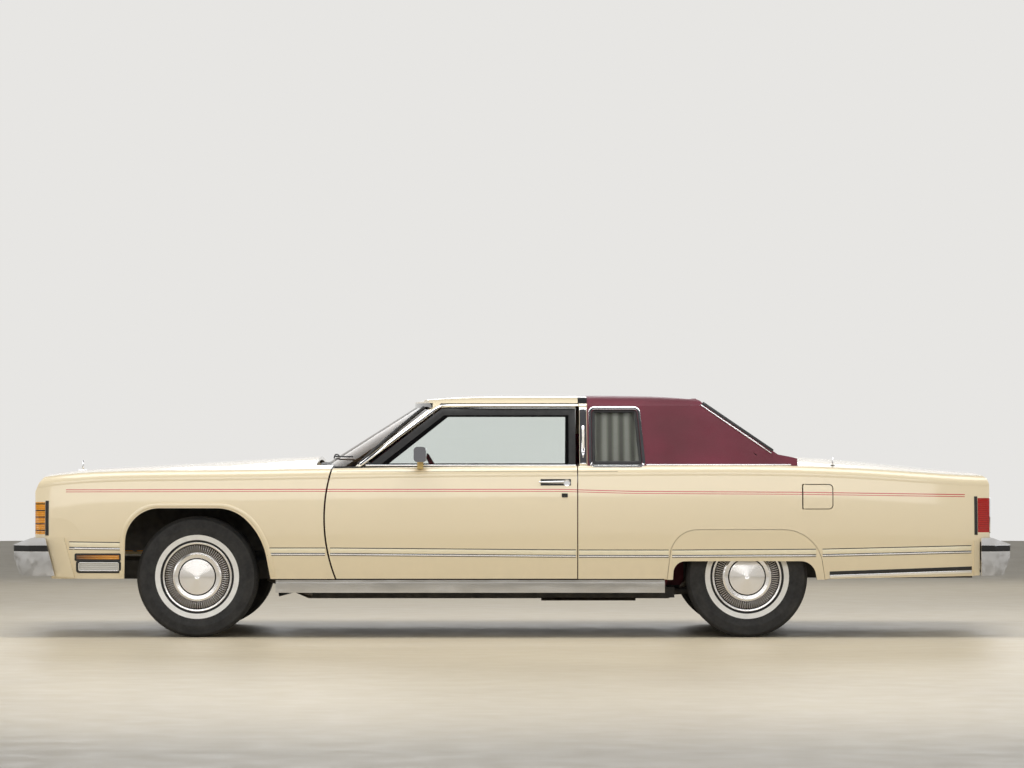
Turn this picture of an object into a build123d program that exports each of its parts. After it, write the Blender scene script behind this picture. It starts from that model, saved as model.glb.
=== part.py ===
from build123d import *
import math
import os

os.makedirs("parts", exist_ok=True)

# Millimetres. Nose towards -X, left side of the car at -Y, ground at Z = 0.
# ------------------------------------------------------------ driving sizes
HALF_WIDTH = 1003.0
NOSE = -2806.0
TAIL = 2806.0
BUMPER_END = 2959.0
BELT = 1008.0
ROOF_TOP = 1430.0
FLOOR_Z = 290.0
FRONT_AXLE = -1850.0
REAR_AXLE = 1381.0
WHEEL_INSET = 186.5
TYRE_R = 355.0
RIM_R = 203.0
RIM_HALF = 90.0
KINGPIN_INSET = 247.0
STEER_ARM = 130.0
SPINDLE_R = 16.0
KINGPIN_R = 12.0

SKIN = 25.0
DOOR_WALL = 120.0
DOOR_SKIN = 62.0
DOOR_LIP = 16.0
LID_THICK = 20.0
ROOF_THICK = 40.0
SHEET = 12.0
GLASS = 8.0
PANEL_GAP = 6.0
LID_GAP = 9.0
DOOR_NOSE_GAP = 10.0
SEAM = 0.4
SEAT = 0.3
BEARING_GAP = 0.3
PIN_R = 6.0

DOOR_TOP_X = -1036.0
DOOR_BOW_X = -1096.0
DOOR_FOOT_X = -1029.0
DOOR_REAR = 382.0
DOOR_BOTTOM = 346.0
DOOR_HINGE_X = -1020.0
HINGE_INSET = 23.0
HINGE_HEIGHTS = (450.0, 800.0)
HOOD_FRONT = -2690.0
HOOD_REAR = -1160.0
HOOD_PIVOT = (-1148.0, 992.0)
HOOD_HINGE_Y = 350.0
COWL_DROP = 36.0
TRUNK_FRONT = 1692.0
TRUNK_REAR = 2796.0
TRUNK_PIVOT = (1600.0, 1008.0)
TRUNK_HINGE_Y = 450.0
ROOF_SPLIT = 444.0
SHELF_Z = 985.0
RAIL_LOW = 228.0
ROCKER_LOW = 264.0
ROCKER_TOP = 338.0
LINK_Z = 272.0
LINK_EYE_Y = 660.0
LINK_R = 11.0
PLATE_BOLT_R = 4.0
PLATE_BOLT_Y = 89.0
PLATE_Z = 450.0

HALF_TRACK = HALF_WIDTH - WHEEL_INSET
KINGPIN_Y = HALF_WIDTH - KINGPIN_INSET
DOOR_HINGE_Y = HALF_WIDTH - HINGE_INSET
BULKHEAD_X = -1135.0
SILL_Y = HALF_WIDTH - 135
RAIL_TOP = FLOOR_Z - SEAM

# Body stations: x, inset of the side, shoulder height, inset and height of the
# seam beside the hood and deck, height of the hood or deck at the centre.
SHAPE = (
    (NOSE, 77, 934, 353, 944, 948),
    (-2500, 37, 968, 327, 980, 984),
    (-1850, 13, 982, 293, 1000, 1022),
    (-1100, 1, 992, 261, 1010, 1062),
    (0, 0, 1005, 261, 1018, 1066),
    (1100, 1, 1012, 268, 1024, 1066),
    (1700, 9, 1006, 283, 1022, 1056),
    (2300, 31, 976, 313, 992, 1008),
    (TAIL, 67, 948, 348, 958, 962),
)
STATIONS = [(x, HALF_WIDTH - side, top, HALF_WIDTH - seam, seam_z, mid)
            for x, side, top, seam, seam_z, mid in SHAPE]

# Roof rows: x, inset of the rail from the side, drops of rail and crown from the top.
ROOF_SHAPE = (
    (-640, 297, 92, 54),
    (-480, 281, 80, 22),
    (-280, 265, 73, 6),
    (150, 259, 71, 0),
    (650, 261, 72, 2),
    (1000, 269, 76, 14),
    (1190, 277, 84, 40),
)
ROOF_ROWS = [(x, HALF_WIDTH - side, ROOF_TOP - rail, ROOF_TOP - crown)
             for x, side, rail, crown in ROOF_SHAPE]

NODES = {}


# ------------------------------------------------------------------- helpers
def outline(points, radius):
    """Closed outline; radius is one value, or one for each corner, with 0 for sharp."""
    if not radius:
        return make_face(Polyline(*points, close=True))
    return make_face(FilletPolyline(*points, radius=radius, close=True))


def side_prism(points, y0, y1, radius=0):
    """Outline in the XZ plane, drawn out along Y."""
    return extrude(Plane.XZ.offset(-y1) * outline(points, radius), y1 - y0)


def front_prism(points, x0, x1, radius=0):
    """Outline in the YZ plane, drawn out along X."""
    return extrude(Plane.YZ.offset(x0) * outline(points, radius), x1 - x0)


def plan_prism(points, z0, z1, radius=0):
    """Outline in the XY plane, drawn out along Z."""
    return extrude(Plane.XY.offset(z0) * outline(points, radius), z1 - z0)


def block(x0, x1, y0, y1, z0, z1):
    middle = Pos((x0 + x1) / 2, (y0 + y1) / 2, (z0 + z1) / 2)
    return middle * Box(abs(x1 - x0), abs(y1 - y0), z1 - z0)


def rod(start, end, radius):
    line = Vector(*end) - Vector(*start)
    low = (Align.CENTER, Align.CENTER, Align.MIN)
    return Plane(origin=start, z_dir=line) * Cylinder(radius, line.length, align=low)


def cross_rod(x, y0, y1, z, radius):
    """Rod across the car, along Y."""
    return rod((x, y0, z), (x, y1, z), radius)


def post(x, y, z, radius, height):
    """Upright cylinder about a middle point."""
    return Pos(x, y, z) * Cylinder(radius, height)


def strip(a, b, half):
    """Corners of a straight bar between two points of a plane."""
    angle = math.atan2(b[1] - a[1], b[0] - a[0])
    nx, ny = -math.sin(angle) * half, math.cos(angle) * half
    return [(a[0] + nx, a[1] + ny), (b[0] + nx, b[1] + ny),
            (b[0] - nx, b[1] - ny), (a[0] - nx, a[1] - ny)]


def corners(a0, a1, b0, b1):
    """Corners of a rectangle."""
    return [(a0, b0), (a1, b0), (a1, b1), (a0, b1)]


def moved(points, dx, dz):
    return [(x + dx, z + dz) for x, z in points]


def mirrored(shape):
    return mirror(shape, about=Plane.XZ)


def pair(shape):
    return [shape, mirrored(shape)]


def joined(shapes):
    whole = shapes[0]
    for shape in shapes[1:]:
        whole = whole + shape
    return whole


def turned(points, x, y, z):
    """Outline of (radius, y) points, turned about an axis along Y."""
    face = make_face(Polyline(*points, close=True))
    return Pos(x, y, z) * revolve(face, Axis.Y, 360)


def ring(r0, r1, y0, y1):
    return [(r0, y0), (r1, y0), (r1, y1), (r0, y1)]


def keep(name, *shapes):
    """File the given solids under one node name."""
    solids = []
    for shape in shapes:
        solids.extend(shape.solids())
    NODES[name] = solids[0] if len(solids) == 1 else Compound(children=solids)


def keep_sides(name, shape):
    keep(f"{name}_right", shape)
    keep(f"{name}_left", mirrored(shape))


# ---------------------------------------------------------------- body forms
# Height and inset of the side's widest place, and of its foot.
WIDEST_Z = 620
FOOT_Z = 300
FOOT_IN = 25
HEAD_IN = 28
HEAD_DROP = 62
EDGE_IN = 78


def side_arc(out, top):
    """Bowed side from foot to head, with its outer face at half width out."""
    return ThreePointArc((out - FOOT_IN, FOOT_Z), (out, WIDEST_Z), (out - HEAD_IN, top - HEAD_DROP))


def skin_section(station, thick):
    """Side wall with a flange running in to the hood or deck seam."""
    x, wide, top, seam_y, seam_z, _ = station
    head = (wide - HEAD_IN, top - HEAD_DROP)
    edge = (wide - EDGE_IN, top)
    inner_head = (wide - HEAD_IN - 1 - thick, top - HEAD_DROP - 8)
    inner_foot = (wide - FOOT_IN - thick, FOOT_Z)
    with BuildSketch(Plane.YZ.offset(x)) as sketch:
        with BuildLine():
            side_arc(wide, top)
            ThreePointArc(head, (wide - 42, top - 19), edge)
            Line(edge, (seam_y, seam_z))
            Line((seam_y, seam_z), (seam_y, seam_z - thick))
            Line((seam_y, seam_z - thick), (wide - EDGE_IN - 4, top - thick))
            Line((wide - EDGE_IN - 4, top - thick), inner_head)
            ThreePointArc(inner_head, (wide - thick, WIDEST_Z), inner_foot)
            Line(inner_foot, (wide - FOOT_IN, FOOT_Z))
        make_face()
    return sketch.sketch.faces()[0]


def wall_section(station, thick):
    """Thick side wall with a flat top, as a door or a jamb has."""
    x, wide, top, _, _, _ = station
    head = (wide - HEAD_IN, top - HEAD_DROP)
    edge = (wide - EDGE_IN, top)
    back = (wide - thick - 44, top)
    inner_foot = (wide - thick - FOOT_IN, FOOT_Z)
    with BuildSketch(Plane.YZ.offset(x)) as sketch:
        with BuildLine():
            side_arc(wide, top)
            ThreePointArc(head, (wide - 42, top - 19), edge)
            Line(edge, back)
            ThreePointArc(back, (wide - thick, WIDEST_Z), inner_foot)
            Line(inner_foot, (wide - FOOT_IN, FOOT_Z))
        make_face()
    return sketch.sketch.faces()[0]


def band_section(station, depth, thick):
    """Slim side band below the shoulder, outer face lying depth inside the skin."""
    x, wide, top, _, _, _ = station
    out = wide - depth
    head = (out - HEAD_IN, top - HEAD_DROP)
    foot = (out - FOOT_IN, FOOT_Z)
    with BuildSketch(Plane.YZ.offset(x)) as sketch:
        with BuildLine():
            side_arc(out, top)
            Line(head, (head[0] - thick, head[1]))
            ThreePointArc((head[0] - thick, head[1]), (out - thick, WIDEST_Z), (foot[0] - thick, FOOT_Z))
            Line((foot[0] - thick, FOOT_Z), foot)
        make_face()
    return sketch.sketch.faces()[0]


def lid_section(station, gap, thick):
    """Crowned panel between the two seams."""
    x, _, _, seam_y, seam_z, crown = station
    half = seam_y - gap
    low = seam_z - thick
    with BuildSketch(Plane.YZ.offset(x)) as sketch:
        with BuildLine():
            ThreePointArc((half, seam_z), (0, crown), (-half, seam_z))
            Line((-half, seam_z), (-half, low))
            ThreePointArc((-half, low), (0, crown - thick), (half, low))
            Line((half, low), (half, seam_z))
        make_face()
    return sketch.sketch.faces()[0]


def through_stations(section, *sizes):
    return loft([section(station, *sizes) for station in STATIONS])


skin = through_stations(skin_section, SKIN)
wall = through_stations(wall_section, DOOR_WALL)
door_outer = through_stations(wall_section, DOOR_SKIN)
band = through_stations(band_section, 0, SKIN)
backing = through_stations(band_section, SKIN + SEAT, 8)
lid = through_stations(lid_section, LID_GAP, LID_THICK)
fixed_lid = through_stations(lid_section, SEAM, LID_THICK)

# Depth range across the car that holds one whole side.
SIDE_IN = HALF_WIDTH - 503
SIDE_OUT = HALF_WIDTH + 197
ABOVE = 1200

# --------------------------------------------------------------- side outlines
# Front wheel opening, about the wheel centre: a flat top with round shoulders.
ARCH = [(-430, -200), (-414, 404), (230, 404), (390, 230), (470, -200)]
ARCH_RADII = [0, 200, 250, 400, 0]
# Fender skirt over the rear wheel, and the opening under it.
SKIRT = [(897, 220), (944, 632), (1790, 632), (1852, 220)]
SKIRT_RADII = [0, 160, 230, 0]
SKIRT_OPENING = [(934, 200), (950, 449), (1768, 449), (1814, 200)]
SKIRT_OPENING_RADII = [0, 70, 90, 0]
# Nose and tail corners seen from the side.
NOSE_CORNER = [(60, ABOVE), (60, 950), (22, 905), (0, 850), (0, 560)]
NOSE_RADII = [0, 0, 40, 60, 0, 0, 0, 0, 0]
LAMP_LOW, LAMP_TOP = 605, 794
TAIL_LAMP_LOW, TAIL_LAMP_TOP = 617, 818


def door_side(inset, shift=0.0):
    """Door seen from the side: a bowed front edge; inset moves every edge inwards."""
    top = DOOR_TOP_X + inset + shift
    foot = DOOR_FOOT_X + inset + shift
    bow = DOOR_BOW_X + inset + shift
    low = DOOR_BOTTOM + inset
    with BuildSketch(Plane.XZ) as sketch:
        with BuildLine():
            ThreePointArc((top, 1040), (bow, 700), (foot, low))
            Line((foot, low), (DOOR_REAR - inset, low))
            Line((DOOR_REAR - inset, low), (DOOR_REAR - inset, 1040))
            Line((DOOR_REAR - inset, 1040), (top, 1040))
        make_face()
    return sketch.sketch


def across(sketch, y0, y1):
    """A sketch in the XZ plane, drawn out from y0 to y1."""
    return Pos(0, y1, 0) * extrude(sketch, y1 - y0)


# --------------------------------------------------------------- front fender
def nose_side(back):
    """Everything behind the rounded nose, as far as back; below, it clears the bumper."""
    front = moved(NOSE_CORNER, NOSE + 0.5, 0)
    return front + [(NOSE + 66, 560), (NOSE + 102, 345), (back, 345), (back, ABOVE)]


def nose_plan(back):
    """Front corner seen from above, rounded between the nose and the side."""
    x, wide = STATIONS[0][0] + 0.5, STATIONS[0][1]
    next_x, next_wide = STATIONS[1][0], STATIONS[1][1]
    front = [(x, 0), (x, wide + 1), (next_x, next_wide + 2), (next_x + 90, SIDE_OUT)]
    return front + [(back, SIDE_OUT), (back, 0)]


NOSE_PLAN_RADII = [0, 45, 0, 0, 0, 0]
nose_form = side_prism(nose_side(-900), 0, SIDE_OUT, NOSE_RADII)
nose_form = nose_form & plan_prism(nose_plan(-900), 300, ABOVE, NOSE_PLAN_RADII)
SLOTS = {"marker": (-2557, -2302, 457, 486), "cornering": (-2542, -2308, 392, 439)}


def slot_prism(name, grow):
    x0, x1, z0, z1 = SLOTS[name]
    return side_prism(corners(x0 - grow, x1 + grow, z0 - grow, z1 + grow), SIDE_IN, SIDE_OUT, 8)


fender = skin & nose_form
fender = fender - block(DOOR_FOOT_X - DOOR_NOSE_GAP, 0, SIDE_IN, SIDE_OUT, 300, ABOVE)
fender = fender - across(door_side(0, -DOOR_NOSE_GAP), SIDE_IN, SIDE_OUT)
fender = fender - side_prism(moved(ARCH, FRONT_AXLE, TYRE_R), SIDE_IN, SIDE_OUT, ARCH_RADII)
fender = fender - block(NOSE - 10, -2742, HALF_WIDTH - 153, SIDE_OUT, LAMP_LOW, LAMP_TOP)
for lamp in SLOTS:
    fender = fender - slot_prism(lamp, SEAM)
keep_sides("front_fender", fender)

corner_lamp = wall & nose_form
lamp_span = (HALF_WIDTH - 143, SIDE_OUT, LAMP_LOW + SEAM, LAMP_TOP - SEAM)
corner_lamp = corner_lamp & block(NOSE, -2742 - SEAM, *lamp_span)
keep("parking_lamps", *pair(corner_lamp), *pair(band & slot_prism("marker", 0)))
keep("cornering_lamps", *pair(band & slot_prism("cornering", 0)))


# ----------------------------------------------------------------------- door
def door_solid():
    outer = door_outer & across(door_side(0), SIDE_IN, SIDE_OUT)
    inner = wall & across(door_side(DOOR_LIP), SIDE_IN, SIDE_OUT)
    solid = outer + inner
    x, y = DOOR_HINGE_X, DOOR_HINGE_Y
    for z in HINGE_HEIGHTS:
        solid = solid - block(x - 100, x + 14, y - 280, y + 8, z - 12, z + 12)
        solid = solid - post(x, y, z, 9.6, 24) - post(x, y, z, 5 + BEARING_GAP, 64)
    return solid


# Slot in the door's top that the glass stands in, following its lean.
LEAN_FOOT = HALF_WIDTH - 119
LEAN_HEAD = HALF_WIDTH - 273
PANE_FOOT_Z = SHELF_Z
PANE_TOP = ROOF_TOP - 83
door = door_solid()
lean = (LEAN_FOOT - LEAN_HEAD) / (PANE_TOP - PANE_FOOT_Z)
slot_top = PANE_FOOT_Z + 35
slot_shape = [(LEAN_FOOT + 0.8, PANE_FOOT_Z - 0.6), (LEAN_FOOT + 0.8 - 35.6 * lean, slot_top)]
slot_shape += [(LEAN_FOOT - GLASS - 35.6 * lean, slot_top), (LEAN_FOOT - GLASS, PANE_FOOT_Z - 0.6)]
door = door - front_prism(slot_shape, -896, 361)
keep_sides("door", door)

# Door glass: one pane a side, standing in the door's top.
pane = [(LEAN_FOOT, PANE_FOOT_Z), (LEAN_HEAD, PANE_TOP), (LEAN_HEAD - GLASS + 1, PANE_TOP)]
pane = front_prism(pane + [(LEAN_FOOT - GLASS + 1, PANE_FOOT_Z)], -910, DOOR_REAR + PANEL_GAP)
pane_side = [(-886, PANE_FOOT_Z), (-872, BELT - 5), (-424, PANE_TOP - 7), (-404, PANE_TOP)]
pane_side += [(DOOR_REAR - 4, PANE_TOP), (DOOR_REAR - 4, BELT + 2), (355, BELT + 2), (355, PANE_FOOT_Z)]
pane = pane & side_prism(pane_side, 500, HALF_WIDTH)
keep_sides("door_glass", pane)

mirror_y = HALF_WIDTH - 71
mirror_head = block(-575, -503, mirror_y, mirror_y + 130, 1029, 1119)
mirror_head = fillet(mirror_head.edges().filter_by(Axis.Y), 22)
mirror_foot = block(-556, -520, mirror_y - 32, mirror_y + 43, 990, 1040)
keep("door_mirror_left", mirrored((mirror_head + mirror_foot) - Pos(0, 0, 0.1) * door))

# -------------------------------------------------------------- quarter panel
TAIL_CORNER = [(TAIL - 0.5, 560), (TAIL - 0.5, 900), (TAIL - 14, 934), (TAIL - 50, 958), (TAIL - 50, ABOVE)]
quarter_side = [(DOOR_REAR + PANEL_GAP, ABOVE), (DOOR_REAR + PANEL_GAP, 345), (1850, 345), (2720, 361)]
quarter_side += [(2748, 560)] + TAIL_CORNER
quarter = skin & side_prism(quarter_side, SIDE_IN, SIDE_OUT)
quarter = quarter + (wall & block(DOOR_REAR + 20, 872, SIDE_IN, SIDE_OUT, 345, BELT - 6))
quarter = quarter - block(DOOR_REAR, TRUNK_FRONT - 8, SIDE_IN, SIDE_OUT, BELT, ABOVE)
quarter = quarter - block(DOOR_REAR, 1560, SIDE_IN, HALF_WIDTH - 153, 900, 1100)
skirt_face = outline(SKIRT, SKIRT_RADII)
skirt_room = Plane.XZ.offset(-SIDE_OUT) * offset(skirt_face, 3, kind=Kind.INTERSECTION)
quarter = quarter - extrude(skirt_room, 300)
lamp_in = HALF_WIDTH - 153
quarter = quarter - block(2735, TAIL + 20, lamp_in, SIDE_OUT, TAIL_LAMP_LOW, TAIL_LAMP_TOP)
keep("quarter_panel_right", quarter)

skirt = band & side_prism(SKIRT, SIDE_IN, SIDE_OUT, SKIRT_RADII)
flange = Plane.XZ.offset(-SIDE_OUT) * offset(skirt_face, 18, kind=Kind.INTERSECTION)
skirt = skirt + (backing & extrude(flange, 300))
skirt = skirt - side_prism(SKIRT_OPENING, SIDE_IN, SIDE_OUT, SKIRT_OPENING_RADII)
skirt = skirt - block(800, 1900, SIDE_IN, SIDE_OUT, 0, 340)
keep("fender_skirts", *pair(skirt))

# ------------------------------------------------------------------ fuel door
FUEL_X0, FUEL_X1, FUEL_Z0, FUEL_Z1 = 1708, 1879, 757, 896
FUEL_PLATE = 8
fuel_side = corners(FUEL_X0, FUEL_X1, FUEL_Z0, FUEL_Z1)
fuel_room = corners(FUEL_X0 - 7, FUEL_X1 + 5, FUEL_Z0 - 5, FUEL_Z1 + 5)
fuel_room = side_prism(fuel_room, SIDE_IN, SIDE_OUT, [8, 26, 26, 8])
fuel_plate = through_stations(band_section, 0, FUEL_PLATE)
fuel_plate = fuel_plate & side_prism(fuel_side, SIDE_IN, SIDE_OUT, [4, 22, 22, 4])


def skin_y(x, z):
    """Outer skin half width at a place, between the stations."""
    for a, b in zip(STATIONS, STATIONS[1:]):
        if a[0] <= x <= b[0]:
            share = (x - a[0]) / (b[0] - a[0])
            wide = a[1] + share * (b[1] - a[1])
            top = a[2] + share * (b[2] - a[2])
    if z > WIDEST_Z:
        run = (z - WIDEST_Z) / (top - HEAD_DROP - WIDEST_Z)
        return wide - HEAD_IN * run * run
    run = (WIDEST_Z - z) / (WIDEST_Z - FOOT_Z)
    return wide - FOOT_IN * run * run


fuel_x = FUEL_X0 + 8
fuel_low = Vector(fuel_x, skin_y(fuel_x, FUEL_Z0) - 5, FUEL_Z0)
fuel_high = Vector(fuel_x, skin_y(fuel_x, FUEL_Z1) - 5, FUEL_Z1)
fuel_up = (fuel_high - fuel_low).normalized()
fuel_pin = rod(tuple(fuel_low - fuel_up * 9), tuple(fuel_high + fuel_up * 9), 2.5)
fuel_bore = rod(tuple(fuel_low - fuel_up * 10), tuple(fuel_high + fuel_up * 10), 2.5 + BEARING_GAP)
keep("quarter_panel_left", mirrored(quarter - fuel_room - fuel_bore))
keep("fuel_door", mirrored(fuel_plate + fuel_pin))


# -------------------------------------------------------------- hood and trunk
def hood_solid():
    panel = lid & block(HOOD_FRONT, HOOD_REAR, -800, 800, 800, ABOVE)
    x, z = HOOD_PIVOT
    ear = [(x - 150, z + 38), (x - 12, z + 36), (x + 12, z + 6), (x + 8, z - 12), (x - 12, z - 12)]
    for side in (-1, 1):
        y = HOOD_HINGE_Y * side
        panel = panel + side_prism(ear, y - 5, y + 5) + cross_rod(x, y - 5, y + 5, z, 14)
        panel = panel - cross_rod(x, y - 20, y + 20, z, PIN_R + BEARING_GAP)
    return panel


def trunk_solid():
    """Lid with its rear lip, on two goosenecks that reach forward to the pins."""
    lip_half = HALF_WIDTH - 363
    panel = lid + block(TRUNK_REAR - 22, TRUNK_REAR, -lip_half, lip_half, 880, 952)
    panel = panel & side_prism([(TRUNK_FRONT, 800), (TRUNK_REAR, 800)] + trunk_corner(), -800, 800)
    x, z = TRUNK_PIVOT
    neck = moved([(0, 0), (30, -94), (142, -70), (250, 8)], x, z)
    for side in (-1, 1):
        y0 = TRUNK_HINGE_Y * side - 7
        arm = cross_rod(x, y0, y0 + 14, z, 14)
        for a, b in zip(neck, neck[1:]):
            arm = arm + side_prism(strip(a, b, 9), y0, y0 + 14) + cross_rod(b[0], y0, y0 + 14, b[1], 9)
        panel = panel + arm
        panel = panel - cross_rod(x, y0 - 13, y0 + 27, z, PIN_R + BEARING_GAP)
    return panel


def trunk_corner():
    """Rounded rear edge of the lid from below, then back to its front edge."""
    rear = [(TRUNK_REAR, 930), (TRUNK_REAR - 16, 948), (TRUNK_REAR - 50, 962)]
    return rear + [(TRUNK_REAR - 50, ABOVE), (TRUNK_FRONT, ABOVE)]


keep("hood", hood_solid())
keep("trunk_lid", trunk_solid())

# ----------------------------------------------------------------- greenhouse
GLASS_FOOT_Z = BELT - 4
GLASS_TOP_Z = ROOF_TOP - 64
# The windshield's middle and side places at its foot and top heights.
BOW_FOOT = (-1148, -916)
BOW_TOP = (-574, -462)
BOW_THICK = 11
# It runs this far down below its foot, to be trimmed along the cowl.
BOW_SKIRT = 44


def crescent(z, centre_x, side_x, half, thick):
    """Plan of the windshield at one height, bowed forward in the middle."""
    with BuildSketch(Plane.XY.offset(z)) as sketch:
        with BuildLine():
            ThreePointArc((side_x, -half), (centre_x, 0), (side_x, half))
            Line((side_x, half), (side_x + thick, half))
            ThreePointArc((side_x + thick, half), (centre_x + thick, 0), (side_x + thick, -half))
            Line((side_x + thick, -half), (side_x, -half))
        make_face()
    return sketch.sketch.faces()[0]


def glass_form(spare):
    """Windshield swept between its foot and top bows, with spare room all round."""
    height = GLASS_TOP_Z - GLASS_FOOT_Z
    faces = []
    for z in (GLASS_FOOT_Z - BOW_SKIRT, GLASS_TOP_Z + 6 * spare):
        share = (z - GLASS_FOOT_Z) / height
        middle_x = BOW_FOOT[0] + share * (BOW_TOP[0] - BOW_FOOT[0]) - spare
        side_x = BOW_FOOT[1] + share * (BOW_TOP[1] - BOW_FOOT[1]) - spare * 0.6
        half = HALF_WIDTH - 203 - 149 * share + spare
        faces.append(crescent(z, middle_x, side_x, half, BOW_THICK + 2 * spare))
    return loft(faces, ruled=True)


def quad_loft(low, low_z, high, high_z):
    faces = [Plane.XY.offset(low_z) * make_face(Polyline(*low, close=True))]
    faces.append(Plane.XY.offset(high_z) * make_face(Polyline(*high, close=True)))
    return loft([f.faces()[0] for f in faces], ruled=True)


def roof_section(row, thick):
    x, wide, side_z, top = row
    inner = top - thick
    with BuildSketch(Plane.YZ.offset(x)) as sketch:
        with BuildLine():
            ThreePointArc((wide, side_z), (wide - 62, side_z + 38), (wide - 190, top - 14))
            ThreePointArc((wide - 190, top - 14), (0, top), (190 - wide, top - 14))
            ThreePointArc((190 - wide, top - 14), (62 - wide, side_z + 38), (-wide, side_z))
            Line((-wide, side_z), (thick - wide, side_z))
            ThreePointArc((thick - wide, side_z), (90 - wide, side_z + 8), (215 - wide, inner - 14))
            ThreePointArc((215 - wide, inner - 14), (0, inner), (wide - 215, inner - 14))
            ThreePointArc((wide - 215, inner - 14), (wide - 90, side_z + 8), (wide - thick, side_z))
            Line((wide - thick, side_z), (wide, side_z))
        make_face()
    return sketch.sketch.faces()[0]


def roof_plan():
    """Roof seen from above: the front edge is an arc that follows the glass."""
    side_x, half = BOW_TOP[1] - 18, HALF_WIDTH - 303
    with BuildSketch(Plane.XY.offset(ABOVE)) as sketch:
        with BuildLine():
            ThreePointArc((side_x, -half), (BOW_TOP[0] - 18, 0), (side_x, half))
            Line((side_x, half), (side_x + 40, half + 60))
            Line((side_x + 40, half + 60), (2000, half + 60))
            Line((2000, half + 60), (2000, -half - 60))
            Line((2000, -half - 60), (side_x + 40, -half - 60))
            Line((side_x + 40, -half - 60), (side_x, -half))
        make_face()
    return extrude(sketch.sketch, OVER_ROOF - ABOVE)


# Pillar corners in plan: place along the car and inset from the widest side.
PILLAR_FOOT = ((-925, 201), (-907, 131), (-890, 125), (-890, 203))
PILLAR_HEAD = ((-462, 351), (-442, 281), (-404, 279), (-404, 353))
OVER_ROOF = ROOF_TOP + 100
VINYL_FOOT = BELT + SEAM
pillar_foot = [(x, HALF_WIDTH - inset) for x, inset in PILLAR_FOOT]
pillar_head = [(x, HALF_WIDTH - inset) for x, inset in PILLAR_HEAD]
pillar = quad_loft(pillar_foot, GLASS_FOOT_Z, pillar_head, GLASS_TOP_Z + 2)
roof_form = loft([roof_section(row, ROOF_THICK) for row in ROOF_ROWS])
roof = roof_form & roof_plan() & block(-700, ROOF_SPLIT - SEAM, -900, 900, ABOVE, OVER_ROOF)
lock_pillar = [(HALF_WIDTH - 107, VINYL_FOOT), (HALF_WIDTH - 267, ROOF_TOP - 64)]
lock_pillar += [(HALF_WIDTH - 303, ROOF_TOP - 64), (HALF_WIDTH - 151, VINYL_FOOT)]
lock_pillar = front_prism(lock_pillar, DOOR_REAR + 16, ROOF_SPLIT - SEAM)
roof = joined([roof] + pair(pillar) + pair(lock_pillar)) - glass_form(0.5)
keep("roof", roof)

# Vinyl-covered rear roof: top, sail panels with the opera windows, rear wall.
SLOPE_TOP = (1090, ROOF_TOP - 21)
SLOPE_KNEE = (1134, ROOF_TOP - 56)
SLOPE_FOOT = (1534, 1096)
LEDGE = [SLOPE_FOOT, (1566, 1074), (1640, 1060), (1678, 1050)]
OPERA = [(470, BELT + 5), (470, ROOF_TOP - 92), (738, ROOF_TOP - 92), (768, BELT + 5)]
BACKLIGHT_FOOT = 1105
BACKLIGHT_HEAD = ROOF_TOP - 95
belt_half = HALF_WIDTH - 86
rail_half = HALF_WIDTH - 259
sail = [(belt_half, VINYL_FOOT), (rail_half, ROOF_TOP - 68)]
sail += [(rail_half - 42, ROOF_TOP - 68), (belt_half - 52, VINYL_FOOT)]
sail_side = [(400, 1000), (400, OVER_ROOF), SLOPE_TOP, SLOPE_KNEE, (1500, 1005)]
sail = front_prism(sail, ROOF_SPLIT, 1700) & side_prism(sail_side, 500, 1000)
sail = sail - side_prism(OPERA, 500, 1000, 24)
top_side = [(400, ABOVE), (400, OVER_ROOF), (1040, OVER_ROOF), (1060, ROOF_TOP - 14)]
top_side += [SLOPE_TOP, (1118, ROOF_TOP - 38), SLOPE_KNEE, (SLOPE_KNEE[0], ABOVE)]
vinyl_top = roof_form & side_prism(top_side, -900, 900) & block(ROOF_SPLIT, 1190, -900, 900, ABOVE, OVER_ROOF)
house = [(belt_half, VINYL_FOOT), (rail_half, ROOF_TOP - 70), (600, ROOF_TOP - 24)]
house = house + [(-y, z) for y, z in reversed(house)]
house = front_prism(house, 1000, 1700)
rear_side = [(1070, ROOF_TOP - 24), SLOPE_TOP, SLOPE_KNEE] + LEDGE
rear_side += [(1678, 1030), (1500, 1030), (1054, ROOF_TOP - 80)]
backlight = [(-530, BACKLIGHT_FOOT), (530, BACKLIGHT_FOOT), (480, BACKLIGHT_HEAD), (-480, BACKLIGHT_HEAD)]
rear_wall = (side_prism(rear_side, -1000, 1000) & house) - front_prism(backlight, 1000, 1700, 40)
shoulder_side = [(1440, VINYL_FOOT), (1440, 1120)] + LEDGE + [(1678, VINYL_FOOT)]
shoulders = pair(side_prism(shoulder_side, 640, 1000) & house)
keep("vinyl_roof", joined([vinyl_top, rear_wall] + pair(sail) + shoulders))


def slope_x(z, depth):
    """Place on the rear slope at a height, depth in from its face along the car."""
    run = (SLOPE_FOOT[0] - SLOPE_KNEE[0]) / (SLOPE_FOOT[1] - SLOPE_KNEE[1])
    return SLOPE_KNEE[0] + (z - SLOPE_KNEE[1]) * run - depth


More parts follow.
